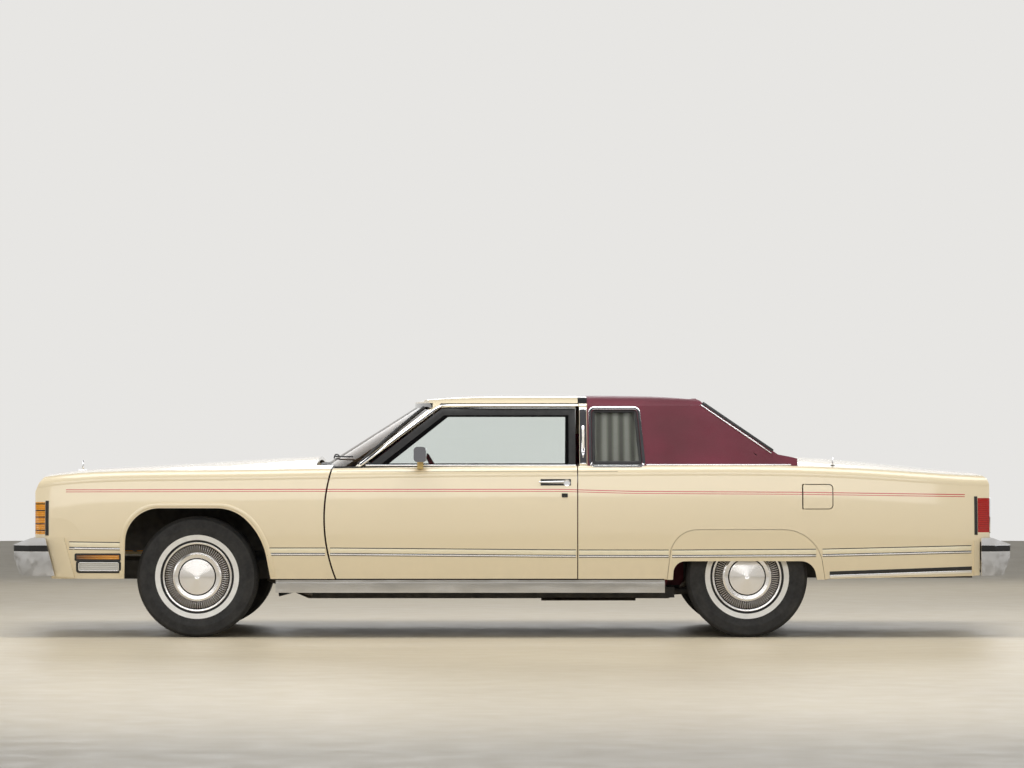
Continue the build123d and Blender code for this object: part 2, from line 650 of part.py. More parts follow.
high, low = BACKLIGHT_HEAD + 25, BACKLIGHT_FOOT - 35
rear_pane = [(slope_x(high, 44), high), (slope_x(high, 30), high)]
rear_pane += [(slope_x(low, 30), low), (slope_x(low, 44), low)]
rear_clear = Plane.YZ.offset(1000) * offset(outline(backlight, 40), -0.5)
keep("rear_window", side_prism(rear_pane, -600, 600) & extrude(rear_clear, 700))
opera_pane = [(HALF_WIDTH - 103, BELT + 6), (HALF_WIDTH - 260, ROOF_TOP - 93)]
opera_pane += [(HALF_WIDTH - 103 - GLASS - 157, ROOF_TOP - 93), (HALF_WIDTH - 103 - GLASS, BELT + 6)]
opera_clear = Plane.XZ.offset(-1000) * offset(outline(OPERA, 24), -SEAM)
keep("opera_windows", *pair(front_prism(opera_pane, 400, 800) & extrude(opera_clear, 500)))

# ------------------------------------------------------------- floor and cowl
cowl_half = HALF_WIDTH - 265
cowl_side = HALF_WIDTH - 173
cowl_front = HOOD_REAR + 8
cowl_plan = [(cowl_front, -cowl_half), (-1046, -cowl_half), (-1046, -cowl_side), (-880, -cowl_side)]
cowl_plan += [(x, -y) for x, y in reversed(cowl_plan)]
cowl_end = block(-1046, -878, cowl_half - 8, cowl_side, 955, GLASS_FOOT_Z - SEAM)
cowl = Pos(0, 0, -COWL_DROP) * fixed_lid & plan_prism(cowl_plan, 900, ABOVE)
cowl = joined([cowl] + pair(cowl_end)) + block(cowl_front, BULKHEAD_X, -700, 700, 940, 1000)
hood_x, hood_z = HOOD_PIVOT
for side in (-1, 1):
    y = HOOD_HINGE_Y * side
    near, far = sorted((y + 6 * side, y + 16 * side))
    lug = block(hood_x - 12, HOOD_REAR + 30, near, far, hood_z - 14, hood_z + 12)
    cowl = cowl - block(hood_x - 200, hood_x + 34, y - 13, y + 13, 900, 1100)
    cowl = cowl + lug + cross_rod(hood_x, y - 12 * side, y + 10 * side, hood_z, PIN_R)
keep("cowl", cowl)
below_glass = Pos(0, 0, SEAM - COWL_DROP) * through_stations(lid_section, -8, 150)
below_ends = pair(block(-1300, -800, cowl_half - 9, SIDE_OUT, 900, GLASS_FOOT_Z))
keep("windshield", glass_form(0) - joined([below_glass] + below_ends))

# ------------------------------------------------------------------ floor pan
KICK_FOOT = 888
TUNNEL_TOP = 478
TUNNEL_FOOT_Y = 200
TUNNEL_HEAD_Y = 130
TRUNK_FLOOR_Z = 430
WELL_IN = 608
APRON_Y = 492
floor = block(BULKHEAD_X, 900, -SILL_Y, SILL_Y, FLOOR_Z, FLOOR_Z + SHEET)
floor = floor + block(BULKHEAD_X, BULKHEAD_X + 15, -800, 800, FLOOR_Z, 940 - SEAM)
tunnel = [(-TUNNEL_FOOT_Y, FLOOR_Z), (-TUNNEL_HEAD_Y, TUNNEL_TOP)]
tunnel = tunnel + [(-y, z) for y, z in reversed(tunnel)]
tunnel_void = [(-186, 200), (-186, FLOOR_Z), (-118, 464), (118, 464), (186, FLOOR_Z), (186, 200)]
tunnel_void = front_prism(tunnel_void, -1200, 1010)
# The floor kicks up behind the front footwell, over the axle, and drops to the trunk.
kick = [(KICK_FOOT, FLOOR_Z), (900, FLOOR_Z), (960, 470), (1020, 560), (1740, 560), (1800, TRUNK_FLOOR_Z)]
kick += [(2750, TRUNK_FLOOR_Z), (2750, 444), (1808, 444), (1748, 574), (1012, 574), (946, 474)]
kick_wall = [(KICK_FOOT, FLOOR_Z), (900, FLOOR_Z), (960, 470), (946, 474)]
floor = floor + front_prism(tunnel, BULKHEAD_X, 950) + side_prism(kick, -620, 620)
floor = floor + side_prism(kick_wall, -SILL_Y, SILL_Y) - tunnel_void
# Rear wheelhouse: an arched cover over the tyre, closed on its inner side.
well_over = [(956, 470), (1010, 690), (1180, 775), (1590, 775), (1760, 690), (1830, 444)]
well_under = [(1816, TRUNK_FLOOR_Z), (1748, 684), (1584, 763), (1186, 763), (1022, 684), (970, 470)]
well_side = well_over + [(1808, TRUNK_FLOOR_Z), (1740, 560), (1020, 560), (960, 470)]
well = side_prism(well_over + well_under, WELL_IN + 12, 925) + side_prism(well_side, WELL_IN, WELL_IN + 12)
well = well + block(1806, 2750, 618, 905, TRUNK_FLOOR_Z, 444)


def hinge_half():
    """Blades and pins of one front door's hinges, reaching out from the hinge post."""
    x, y = DOOR_HINGE_X, DOOR_HINGE_Y
    blades = []
    for z in HINGE_HEIGHTS:
        blades.append(block(-1112, x + 5, SILL_Y - 20, SILL_Y - 6, z - 6, z + 6))
        blades.append(block(x - 5, x + 5, SILL_Y - 20, y, z - 6, z + 6))
        blades.append(post(x, y, z, 9, 12))
        blades.append(post(x, y, z, 5, 62))
    return blades


hinge_post = block(-1190, -1112, 800, SILL_Y, FLOOR_Z, 950)
sill = block(-1190, 896, SILL_Y - 10, SILL_Y, FLOOR_Z, 330)
apron = [(-2640, 500), (-2640, 905), (-1190, 938), (-1121, 938), (-1121, 500)]
apron = side_prism(apron, APRON_Y, APRON_Y + 15) - block(-1937, -1763, 480, 520, 400, 627)
wheel_lid = block(-2300, -1400, APRON_Y, 700, 770, 782)
half_floor = joined([hinge_post, sill, apron, wheel_lid, well] + hinge_half())
floor = joined([floor] + pair(half_floor))

rocker_end = -1386
rocker = block(rocker_end, 896, SILL_Y + SEAM, HALF_WIDTH - 41, ROCKER_LOW, ROCKER_TOP)
rocker = rocker + block(rocker_end, 896, HALF_WIDTH - 48, HALF_WIDTH - 19, ROCKER_LOW, ROCKER_TOP - 16)
keep("rocker_panels", *pair(rocker))

shelf_half = HALF_WIDTH - 153 - SEAM
shelf = block(1085, 1556, -shelf_half, shelf_half, SHELF_Z, SHELF_Z + SHEET)
shelf = shelf + block(1550, 1578, -730, 730, SHELF_Z, SHELF_Z + SHEET)
trunk_x, trunk_z = TRUNK_PIVOT
for side in (-1, 1):
    y = TRUNK_HINGE_Y * side
    near, far = sorted((y + 9 * side, y + 19 * side))
    lug = block(1560, trunk_x + 12, near, far, SHELF_Z, trunk_z + 12)
    shelf = shelf + lug + cross_rod(trunk_x, y - 12 * side, y + 12 * side, trunk_z, PIN_R)
keep("package_shelf", shelf)

# ---------------------------------------------------------------------- frame
RAIL_END = -2700
REAR_END = 2740
CROSS_LOW = RAIL_LOW + 2
CROSS_TOP = RAIL_TOP - 2.6
REAR_CROSS = 940
front_rail = [(RAIL_END, 330), (RAIL_END, 440), (-1262, 440), (-1138, RAIL_TOP), (-900, RAIL_TOP)]
front_rail += [(-900, RAIL_LOW), (-1150, RAIL_LOW), (-1290, 330)]
mid_rail = corners(-1180, 960, RAIL_LOW, RAIL_TOP)
rear_rail = [(800, RAIL_LOW), (800, RAIL_TOP), (900, RAIL_TOP), (980, 470), (1100, 540), (1640, 540)]
rear_rail += [(1800, TRUNK_FLOOR_Z - SEAM), (REAR_END, TRUNK_FLOOR_Z - SEAM), (REAR_END, 340), (1760, 340)]
rear_rail += [(1600, 450), (1140, 450), (1020, 330), (960, RAIL_LOW)]
rails = pair(side_prism(front_rail, 425, 490)) + pair(side_prism(mid_rail, 690, 770))
rails += pair(side_prism(rear_rail, 520, 600))
crossers = pair(block(-1180, -1080, 425, 770, CROSS_LOW, CROSS_TOP))
crossers += [block(820, REAR_CROSS, -770, 770, CROSS_LOW, CROSS_TOP)]
crossers += [block(-520, -440, -770, 770, CROSS_LOW, CROSS_LOW + 40)]
crossers += [block(-1950, -1770, -490, 490, 214, 340), block(RAIL_END, -2640, -490, 490, 335, 435)]
crossers += [block(-1745, -1695, -490, 490, 300, 336), block(1560, 1630, -600, 600, 455, 535)]
crossers += [block(2660, REAR_END, -600, 600, 345, 425)]
link_x = FRONT_AXLE + STEER_ARM
tower = block(-1930, -1770, 440, 505, 430, 620) + block(-1930, -1770, 440, 625, 440, 452)
lug = block(link_x - 25, link_x + 15, 318, 342, LINK_Z - 20, 310)
lug = lug - cross_rod(link_x, 300, 360, LINK_Z, LINK_R + BEARING_GAP)
keep("frame", joined(rails + crossers + pair(tower + lug)))

keep("engine", block(-2180, -1420, -290, 290, 340 + SEAM, 905))

bell = Pos(-1290, 0, 366) * Rot(0, 90, 0) * Cone(160, 92, 259.2)
gearbox = Pos(-910, 0, 366) * Rot(0, 90, 0) * Cone(92, 66, 520)
keep("driveline", bell + gearbox + rod((-700, 0, 366), (1203, 0, 362), 38))

radiator = block(-2560, -2500, -330, 330, 460, 880) + block(-2552, -2508, -488, 488, 440 + SEAT, 470)
keep("radiator", radiator)

tank = block(1900, 2620, -480, 420, 335, TRUNK_FLOOR_Z - SEAM)
keep("fuel_tank", fillet(tank.edges().filter_by(Axis.Z), 60))

PIPE_R = 23
pipe_z = CROSS_LOW - SEAM - PIPE_R
tail_z = 345 - SEAM - PIPE_R
pipe_path = [(-1500, 270, 316), (-1250, 300, pipe_z), (960, 300, pipe_z), (1240, 300, 421)]
pipe_path += [(1560, 320, 421), (1880, 470, tail_z), (2790, 470, tail_z)]
muffler = block(180, 760, 200, 400, 172, 257)
exhaust = [fillet(muffler.edges().filter_by(Axis.X), 36)]
for a, b in zip(pipe_path, pipe_path[1:]):
    exhaust.append(rod(a, b, PIPE_R) + Pos(*b) * Sphere(PIPE_R))
keep("exhaust", joined(exhaust))

# ------------------------------------------------------------- rear suspension
axle = cross_rod(REAR_AXLE, -752, 752, TYRE_R, 38)
axle = axle + cross_rod(REAR_AXLE, -HALF_TRACK - 23.5, HALF_TRACK + 23.5, TYRE_R, SPINDLE_R)
bulge = [(0, -190), (38, -190), (90, -120), (132, -50), (132, 50), (90, 120), (38, 190), (0, 190)]
axle = axle + turned(bulge, REAR_AXLE, 0, TYRE_R) + rod((1206, 0, 365), (1300, 0, 360), 48)
for side in (-1, 1):
    axle = axle + cross_rod(REAR_AXLE, 744 * side, 749 * side, TYRE_R, 138)
keep("rear_axle", axle)

ARM_R = 20
arm_start_z = (CROSS_LOW + CROSS_TOP) / 2
arm_tilt = math.atan2(290 - arm_start_z, 1352 - REAR_CROSS)
arm_start_x = REAR_CROSS + SEAT + ARM_R * math.sin(arm_tilt)
trailing = rod((arm_start_x, 640, arm_start_z), (1352, 640, 290), ARM_R)
coil = rod((REAR_AXLE + 96, 560, 300), (REAR_AXLE + 96, 560, 450 - SEAM), 52)
coil = coil + block(REAR_AXLE - 40, REAR_AXLE + 150, 505, 615, 290, 317 - 0.2)
shock = rod((REAR_AXLE - 80, 480, 300), (REAR_AXLE - 140, 480, 553.5), 26)
keep("rear_suspension", *pair(trailing), *pair(coil), *pair(shock))

# ------------------------------------------------------- wheels, knuckles, tyres
# Outlines about the spin axis: radius, then place across, outwards positive.
TYRE = [(190 + SEAT, -81), (RIM_R + SEAM, -81), (RIM_R + SEAM, -92), (216, -102), (290, -115)]
TYRE += [(TYRE_R - 19, -107), (TYRE_R, -82)]
TYRE = TYRE + [(r, -y) for r, y in reversed(TYRE)]
COVER = [(0, 112), (104, 103), (112, 98), (133, 101), (142, 96), (190, 98), (201, 100)]
COVER += [(201, 90), (188, 93), (112, 92), (0, 104)]


def wheel_solid(x, brake):
    """Rim barrel and flanges, disc, hub and cover, with the brake's turning part."""
    bore = SPINDLE_R + BEARING_GAP
    rings = [ring(182, 190, -88, 88), ring(182, RIM_R, -RIM_HALF, -82), ring(182, RIM_R, 82, RIM_HALF)]
    rings += [ring(58, 184, 20, 30), ring(bore, 60, -26, 42), ring(0, 60, 34, 46), brake, COVER]
    return joined([turned(points, x, HALF_TRACK, TYRE_R) for points in rings])


brake_disc = ring(58, 140, -12, 12)
brake_drum = ring(58, 142, -60, -14)
for corner, x, brake in (("front", FRONT_AXLE, brake_disc), ("rear", REAR_AXLE, brake_drum)):
    keep_sides(f"wheel_{corner}", wheel_solid(x, brake))
    keep_sides(f"tyre_{corner}", turned(TYRE, x, HALF_TRACK, TYRE_R))

knuckle = cross_rod(FRONT_AXLE, KINGPIN_Y, HALF_TRACK + 27.5, TYRE_R, SPINDLE_R)
knuckle = knuckle + block(FRONT_AXLE - 26, FRONT_AXLE + 26, KINGPIN_Y - 20, KINGPIN_Y + 24, 250, 460)
knuckle = knuckle + rod((FRONT_AXLE, KINGPIN_Y, 214), (FRONT_AXLE, KINGPIN_Y, 496), KINGPIN_R)
steer_arm = strip((FRONT_AXLE + 10, KINGPIN_Y), (link_x, LINK_EYE_Y), 15)
knuckle = knuckle + plan_prism(steer_arm, LINK_Z + 20, LINK_Z + 40)
knuckle = knuckle + post(link_x, LINK_EYE_Y, LINK_Z + 30, 18, 20)
keep_sides("knuckle", knuckle)

linkage = cross_rod(link_x, -LINK_EYE_Y, LINK_EYE_Y, LINK_Z, LINK_R)
keep("steering_linkage", joined([linkage] + pair(post(link_x, LINK_EYE_Y, LINK_Z, 18, 25))))


def control_arm(z, inner):
    """Wishbone from the frame out to the kingpin eye."""
    plan = [(-21, KINGPIN_Y), (21, KINGPIN_Y), (21, 622), (76, 560), (76, inner)]
    plan += [(-x, y) for x, y in reversed(plan[2:])]
    arm = plan_prism([(FRONT_AXLE + x, y) for x, y in plan], z - 10, z + 10)
    arm = arm + post(FRONT_AXLE, KINGPIN_Y, z, 24, 20)
    return arm - post(FRONT_AXLE, KINGPIN_Y, z, KINGPIN_R + BEARING_GAP, 40)


lower_arm = control_arm(225, 490 + SEAM)
upper_arm = control_arm(478, 505 + SEAM)
spring = rod((FRONT_AXLE, 562, 235 + SEAM), (FRONT_AXLE, 562, 440 - SEAM), 45)
keep("front_suspension", *pair(lower_arm), *pair(upper_arm), *pair(spring))

# --------------------------------------------------------------------- front
face_outline = [(866, 560), (866, 850), (836, 904), (648, 912), (648, 935)]
face_outline = face_outline + [(-y, z) for y, z in reversed(face_outline)]
nose_top = [(836, 880), (836, 904), (648, 912), (648, 935)]
nose_top = nose_top + [(-y, z) for y, z in reversed(nose_top)]
header = fixed_lid & block(NOSE, HOOD_FRONT - 8, -800, 800, 800, ABOVE)
header = header + front_prism(face_outline, NOSE, NOSE + 34) + front_prism(nose_top, NOSE, NOSE + 64)
header = header - block(NOSE - 10, NOSE + 70, -312, 312, 570, 900)
lamp_bay = block(NOSE - 10, NOSE + 50, 345, 800, 645, 840) + block(NOSE - 10, -2700, 850, 1000, 600, 800)
header = header - joined(pair(lamp_bay))
header_side = moved(NOSE_CORNER, NOSE, 0) + [(HOOD_FRONT, 560), (HOOD_FRONT, ABOVE)]
header = header & side_prism(header_side, -900, 900, [0, 0, 40, 60, 0, 0, 0])
keep("header_panel", header)

grille = block(-2850, -2790, -312 + SEAM, 312 - SEAM, 592, 900 - SEAM)
grille = grille - block(-2860, -2800, -285, 285, 615, 873)
bars = [block(-2840, -2800, i * 28 - 4, i * 28 + 4, 600, 880) for i in range(-9, 10)]
keep("grille", joined([grille] + bars))
cover = block(NOSE + 4, NOSE + 26, 345 + SEAM, 800 - SEAM, 645 + SEAM, 840 - SEAM)
keep("headlamp_covers", *pair(cover))

# -------------------------------------------------------------------- bumpers
BUMPER_IN = 2812
BUMPER_WALL = 20
BUMPER_HALF = HALF_WIDTH + 2
IRON_Z = (385, 424)


def bumper(sign, iron_from, end_top, end_low):
    """Hollow blade that wraps the corners, on two irons from the frame."""
    tip = BUMPER_END
    outer = [(end_top, 586), (BUMPER_IN, 586), (tip - 18, 542), (tip, 522), (tip - 19, 505)]
    outer += [(tip - 76, 366), (end_low, 363)]
    hollow = [(2600, 574), (BUMPER_IN - 4, 574), (tip - 31, 533), (tip - 19, 520), (tip - 35, 502)]
    hollow += [(tip - 87, 376), (2600, 374)]
    plan = [(2600, BUMPER_HALF), (2830, BUMPER_HALF - 2), (2925, 930), (tip, 700)]
    plan = plan + [(x, -y) for x, y in reversed(plan)]
    inner_half = BUMPER_HALF - BUMPER_WALL
    whole = side_prism([(sign * x, z) for x, z in outer], -1010, 1010)
    whole = whole & plan_prism([(sign * x, y) for x, y in plan], 200, 800)
    whole = whole - side_prism([(sign * x, z) for x, z in hollow], -inner_half, inner_half)
    inside = sorted((sign * 2600, sign * BUMPER_IN))
    whole = whole - block(*inside, 50 - BUMPER_HALF, BUMPER_HALF - 50, 300, 700)
    wall_x = tip - 76 + 57 * (IRON_Z[0] - 366) / 139
    iron = [(iron_from, IRON_Z[0]), (wall_x - 5, IRON_Z[0]), (wall_x + 9, IRON_Z[1]), (iron_from, IRON_Z[1])]
    iron = side_prism([(sign * x, z) for x, z in iron], 430, 490)
    whole = joined([whole] + pair(iron))
    for y in (-PLATE_BOLT_Y, PLATE_BOLT_Y):
        whole = whole - rod((sign * 2800, y, PLATE_Z), (sign * 2990, y, PLATE_Z), PLATE_BOLT_R)
    return whole


keep("front_bumper", bumper(-1, 2700.4, 2735, 2678))
keep("rear_bumper", bumper(1, 2740.4, 2749, 2749))

filler_band = through_stations(band_section, -16, 16 - SEAT)
front_filler = [(-2731, 580), (-2629, 586), (-2566, 351), (-2674, 357)]
front_filler = filler_band & side_prism(front_filler, SIDE_IN, SIDE_OUT)
rear_filler = filler_band & block(2712, 2745, SIDE_IN, SIDE_OUT, 364, 568)
keep("bumper_fillers", *pair(front_filler), *pair(rear_filler))

# ---------------------------------------------------------------------- rear
tail_outline = [(876, TRUNK_FLOOR_Z), (876, 866), (846, 914), (654, 924)]
tail_outline = tail_outline + [(-y, z) for y, z in reversed(tail_outline)]
tail_side = [(TAIL - 60, 400), (TAIL, 400), (TAIL, 900), (TAIL - 14, 934), (TAIL - 60, 960)]
tail_panel = front_prism(tail_outline, TAIL - 34, TAIL) & side_prism(tail_side, -900, 900)
tail_panel = tail_panel - block(TRUNK_REAR - 30, TAIL + 10, -655, 655, 870, 1000)
tail_bay = block(2700, TAIL + 10, 560, 1000, TAIL_LAMP_LOW, TAIL_LAMP_TOP)
tail_panel = tail_panel - joined(pair(tail_bay)) + block(2750.4, TAIL - 30, -620, 620, TRUNK_FLOOR_Z, 444)
keep("tail_panel", tail_panel)
lamp_low, lamp_top = TAIL_LAMP_LOW + 0.5, TAIL_LAMP_TOP - 0.5
tail_lamp = wall & block(2735.5, TAIL - 0.5, lamp_in, SIDE_OUT, lamp_low, lamp_top)
tail_lamp = tail_lamp + block(TAIL - 40, TAIL - 0.5, 560 + SEAM, lamp_in + 20, lamp_low, lamp_top)
keep("tail_lamps", *pair(tail_lamp))

# ------------------------------------------------------------------- interior
COLUMN_SLOPE = (0.88, 0, 0.475)
WHEEL_HUB = (-420, -370, 900)
COLUMN_R = 24
DASH_HALF = HALF_WIDTH - 166
SHAFT_R = 9
dash = [(BULKHEAD_X + 23.4, 640), (BULKHEAD_X + 23.4, 930), (-860, 952), (-740, 930)]
dash = side_prism(dash + [(-720, 700), (-860, 640)], -DASH_HALF, DASH_HALF)
along = Vector(*COLUMN_SLOPE).normalized()
hub = Vector(*WHEEL_HUB)


def on_column(a, b, radius):
    """Rod on the steering column's line between two distances below the wheel's hub."""
    return rod(tuple(hub - along * a), tuple(hub - along * b), radius)


keep("steering_column", on_column(790, 60, COLUMN_R) + on_column(60, 8, SHAFT_R))
rim_plane = Plane(origin=tuple(hub), z_dir=tuple(along))
rim = revolve(Plane.XZ * Pos(190, 0) * RegularPolygon(12, 8), Axis.Z, 360)
boss = Cylinder(38, 40) + Box(370, 30, 10) - Pos(0, 0, -14) * Cylinder(SHAFT_R + BEARING_GAP, 34)
keep("steering_wheel", rim_plane * (rim + boss))
column_room = on_column(820, 0, COLUMN_R + SEAM)
keep("dashboard", dash - column_room)
keep("floor_pan", floor - column_room)

SEAT_HALF = HALF_WIDTH - 243
over_tunnel = [(-206, FLOOR_Z - 12), (-133, TUNNEL_TOP + SEAM), (133, TUNNEL_TOP + SEAM), (206, FLOOR_Z - 12)]
bench_side = [(-250, FLOOR_Z + SHEET + SEAM), (-230, 480), (-180, 560), (280, 540), (430, 1000), (520, 990)]
bench_side += [(400, 470), (380, FLOOR_Z + SHEET + SEAM)]
bench = side_prism(bench_side, -SEAT_HALF, SEAT_HALF, 18) - front_prism(over_tunnel, -300, 530)
headrest = front_prism(corners(230, 520, 985, 1090), 436, 500, 30)
keep("front_seat", joined([bench] + pair(headrest)))
rear_side = [(700, 350), (700, 560), (1040, 590), (1170, SHELF_Z - SEAM), (1260, SHELF_Z - SEAM), (1130, 575)]
rear_side += [(1012, 574 + 0.6), (944, 474 + 0.6), (905, 350)]
keep("rear_seat", side_prism(rear_side, 8 - WELL_IN, WELL_IN - 8) - front_prism(over_tunnel, 600, 1000))

for name, shape in NODES.items():
    export_step(shape, f"parts/{name}.step")
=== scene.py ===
# %% [markdown]
# # A full-size two-door car, finished for a picture
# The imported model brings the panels, glass, wheels and running gear at their true size.
# This notebook gives each of them its finish, adds the trim that is too fine for the
# construction model, and lights it like a car in a studio. Lengths are in metres: the
# nose points towards -X, the left side of the car faces -Y and the ground is at Z = 0.

# %% load the frame
from contextlib import contextmanager
import math

import bmesh
import bpy
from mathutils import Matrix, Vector


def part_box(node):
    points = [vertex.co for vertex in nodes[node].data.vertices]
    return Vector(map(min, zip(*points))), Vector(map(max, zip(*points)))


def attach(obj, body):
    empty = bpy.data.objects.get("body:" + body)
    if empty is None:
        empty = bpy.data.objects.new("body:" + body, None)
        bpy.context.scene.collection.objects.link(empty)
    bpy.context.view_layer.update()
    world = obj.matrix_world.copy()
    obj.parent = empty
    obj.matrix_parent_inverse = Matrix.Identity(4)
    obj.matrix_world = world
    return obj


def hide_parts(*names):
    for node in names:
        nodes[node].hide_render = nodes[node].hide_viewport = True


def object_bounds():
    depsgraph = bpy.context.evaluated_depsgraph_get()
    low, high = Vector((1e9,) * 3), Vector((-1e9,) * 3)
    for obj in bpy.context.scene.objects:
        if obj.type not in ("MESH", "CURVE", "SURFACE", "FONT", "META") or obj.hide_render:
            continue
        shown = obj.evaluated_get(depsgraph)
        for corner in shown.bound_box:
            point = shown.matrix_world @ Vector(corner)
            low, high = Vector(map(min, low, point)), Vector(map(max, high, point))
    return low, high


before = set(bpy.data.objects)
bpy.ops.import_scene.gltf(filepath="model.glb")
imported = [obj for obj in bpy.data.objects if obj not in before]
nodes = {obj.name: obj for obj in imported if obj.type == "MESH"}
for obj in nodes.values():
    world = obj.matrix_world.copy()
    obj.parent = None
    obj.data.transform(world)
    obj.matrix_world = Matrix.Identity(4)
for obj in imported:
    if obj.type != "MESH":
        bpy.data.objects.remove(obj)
cad_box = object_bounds()
print("the construction model spans", [tuple(round(v, 3) for v in corner) for corner in cad_box])

# %% [markdown]
# ## Camera
# A side view with little perspective. A long lens far away keeps the two wheels the same
# size and shows only a sliver of the hood and the deck. The camera stands at eye level for
# a crouching viewer and tips up a little, so that the car sits low in the frame.

# %% camera
scene = bpy.context.scene
EYE_HEIGHT = 1.131
EYE_DISTANCE = 25.0
EYE_TILT = math.radians(90.85)
LENS = 144.0
SENSOR = 36.0
FAR_LIMIT = 200.0


def deselect():
    """Operators act on all that is selected, so each step starts with nothing selected."""
    bpy.ops.object.select_all(action="DESELECT")


deselect()
middle_x = (cad_box[0][0] + cad_box[1][0]) / 2
bpy.ops.object.camera_add(location=(middle_x, -EYE_DISTANCE, EYE_HEIGHT), rotation=(EYE_TILT, 0, 0))
camera = bpy.context.object
camera.name = "studio_camera"
camera.data.lens = LENS
camera.data.sensor_width = SENSOR
camera.data.clip_end = FAR_LIMIT
scene.camera = camera
scene.view_settings.view_transform = "Standard"
print("camera looks at the left side from", tuple(round(v, 2) for v in camera.location))

# %% [markdown]
# ## Node helpers
# A material is a small graph. A Value is one number or colour that runs through it, and
# can be added, multiplied and compared like a plain number. A Finish is the material with
# its Principled shader. It starts values and joins them to the shader. Where a finish asks
# for marks, a plain number stands for soft noise of that scale.

# %% values
def add(tree, kind, wires=None, **settings):
    """Adds one node, sets its properties and joins its inputs to sockets or values."""
    node = tree.nodes.new(kind)
    for key, value in settings.items():
        setattr(node, key, value)
    for key, value in (wires or {}).items():
        value = value.socket if isinstance(value, Value) else value
        if isinstance(value, bpy.types.NodeSocket):
            tree.links.new(value, node.inputs[key])
        else:
            node.inputs[key].default_value = value
    return node


class Value:
    """One output in a graph. Sums, products and comparisons with it are Math nodes."""

    def __init__(self, tree, socket):
        self.tree, self.socket = tree, socket

    def maths(self, operation, b=0.0, c=0.0):
        return start(self.tree, 0, "ShaderNodeMath", {0: self, 1: b, 2: c}, operation=operation)

    def __abs__(self):
        return self.maths("ABSOLUTE")

    def __add__(self, other):
        return self.maths("ADD", other)

    def __sub__(self, other):
        return self.maths("SUBTRACT", other)

    def __mul__(self, other):
        return self.maths("MULTIPLY", other)

    def __gt__(self, limit):
        return self.maths("GREATER_THAN", limit)

    def __lt__(self, limit):
        return self.maths("LESS_THAN", limit)

    def within(self, lowest, highest):
        """1 where the value lies between two limits, else 0."""
        return (self > lowest) * (self < highest)

    def scaled(self, factor, plus):
        return self.maths("MULTIPLY_ADD", factor, plus)

    def sine(self):
        return self.maths("SINE")

    def waves(self, rate):
        """Even waves along a coordinate."""
        return (self * rate).sine()

    def span(self, low, high, to_low, to_high, **settings):
        """Moves the value from one range to another."""
        wires = {"Value": self, "From Min": low, "From Max": high, "To Min": to_low, "To Max": to_high}
        return start(self.tree, "Result", "ShaderNodeMapRange", wires, **settings)

    def ramp(self, *stops):
        """A colour ramp; each stop is (place, (red, green, blue))."""
        node = add(self.tree, "ShaderNodeValToRGB", {"Fac": self})
        points = node.color_ramp.elements
        while len(points) < len(stops):
            points.new(0.5)
        for point, (place, colour) in zip(points, stops):
            point.position, point.color = place, (*colour, 1)
        return Value(self.tree, node.outputs["Color"])


def start(tree, output, kind, wires=None, **settings):
    """Adds one node and returns one of its outputs as a value."""
    return Value(tree, add(tree, kind, wires, **settings).outputs[output])


print("values can be reckoned with")

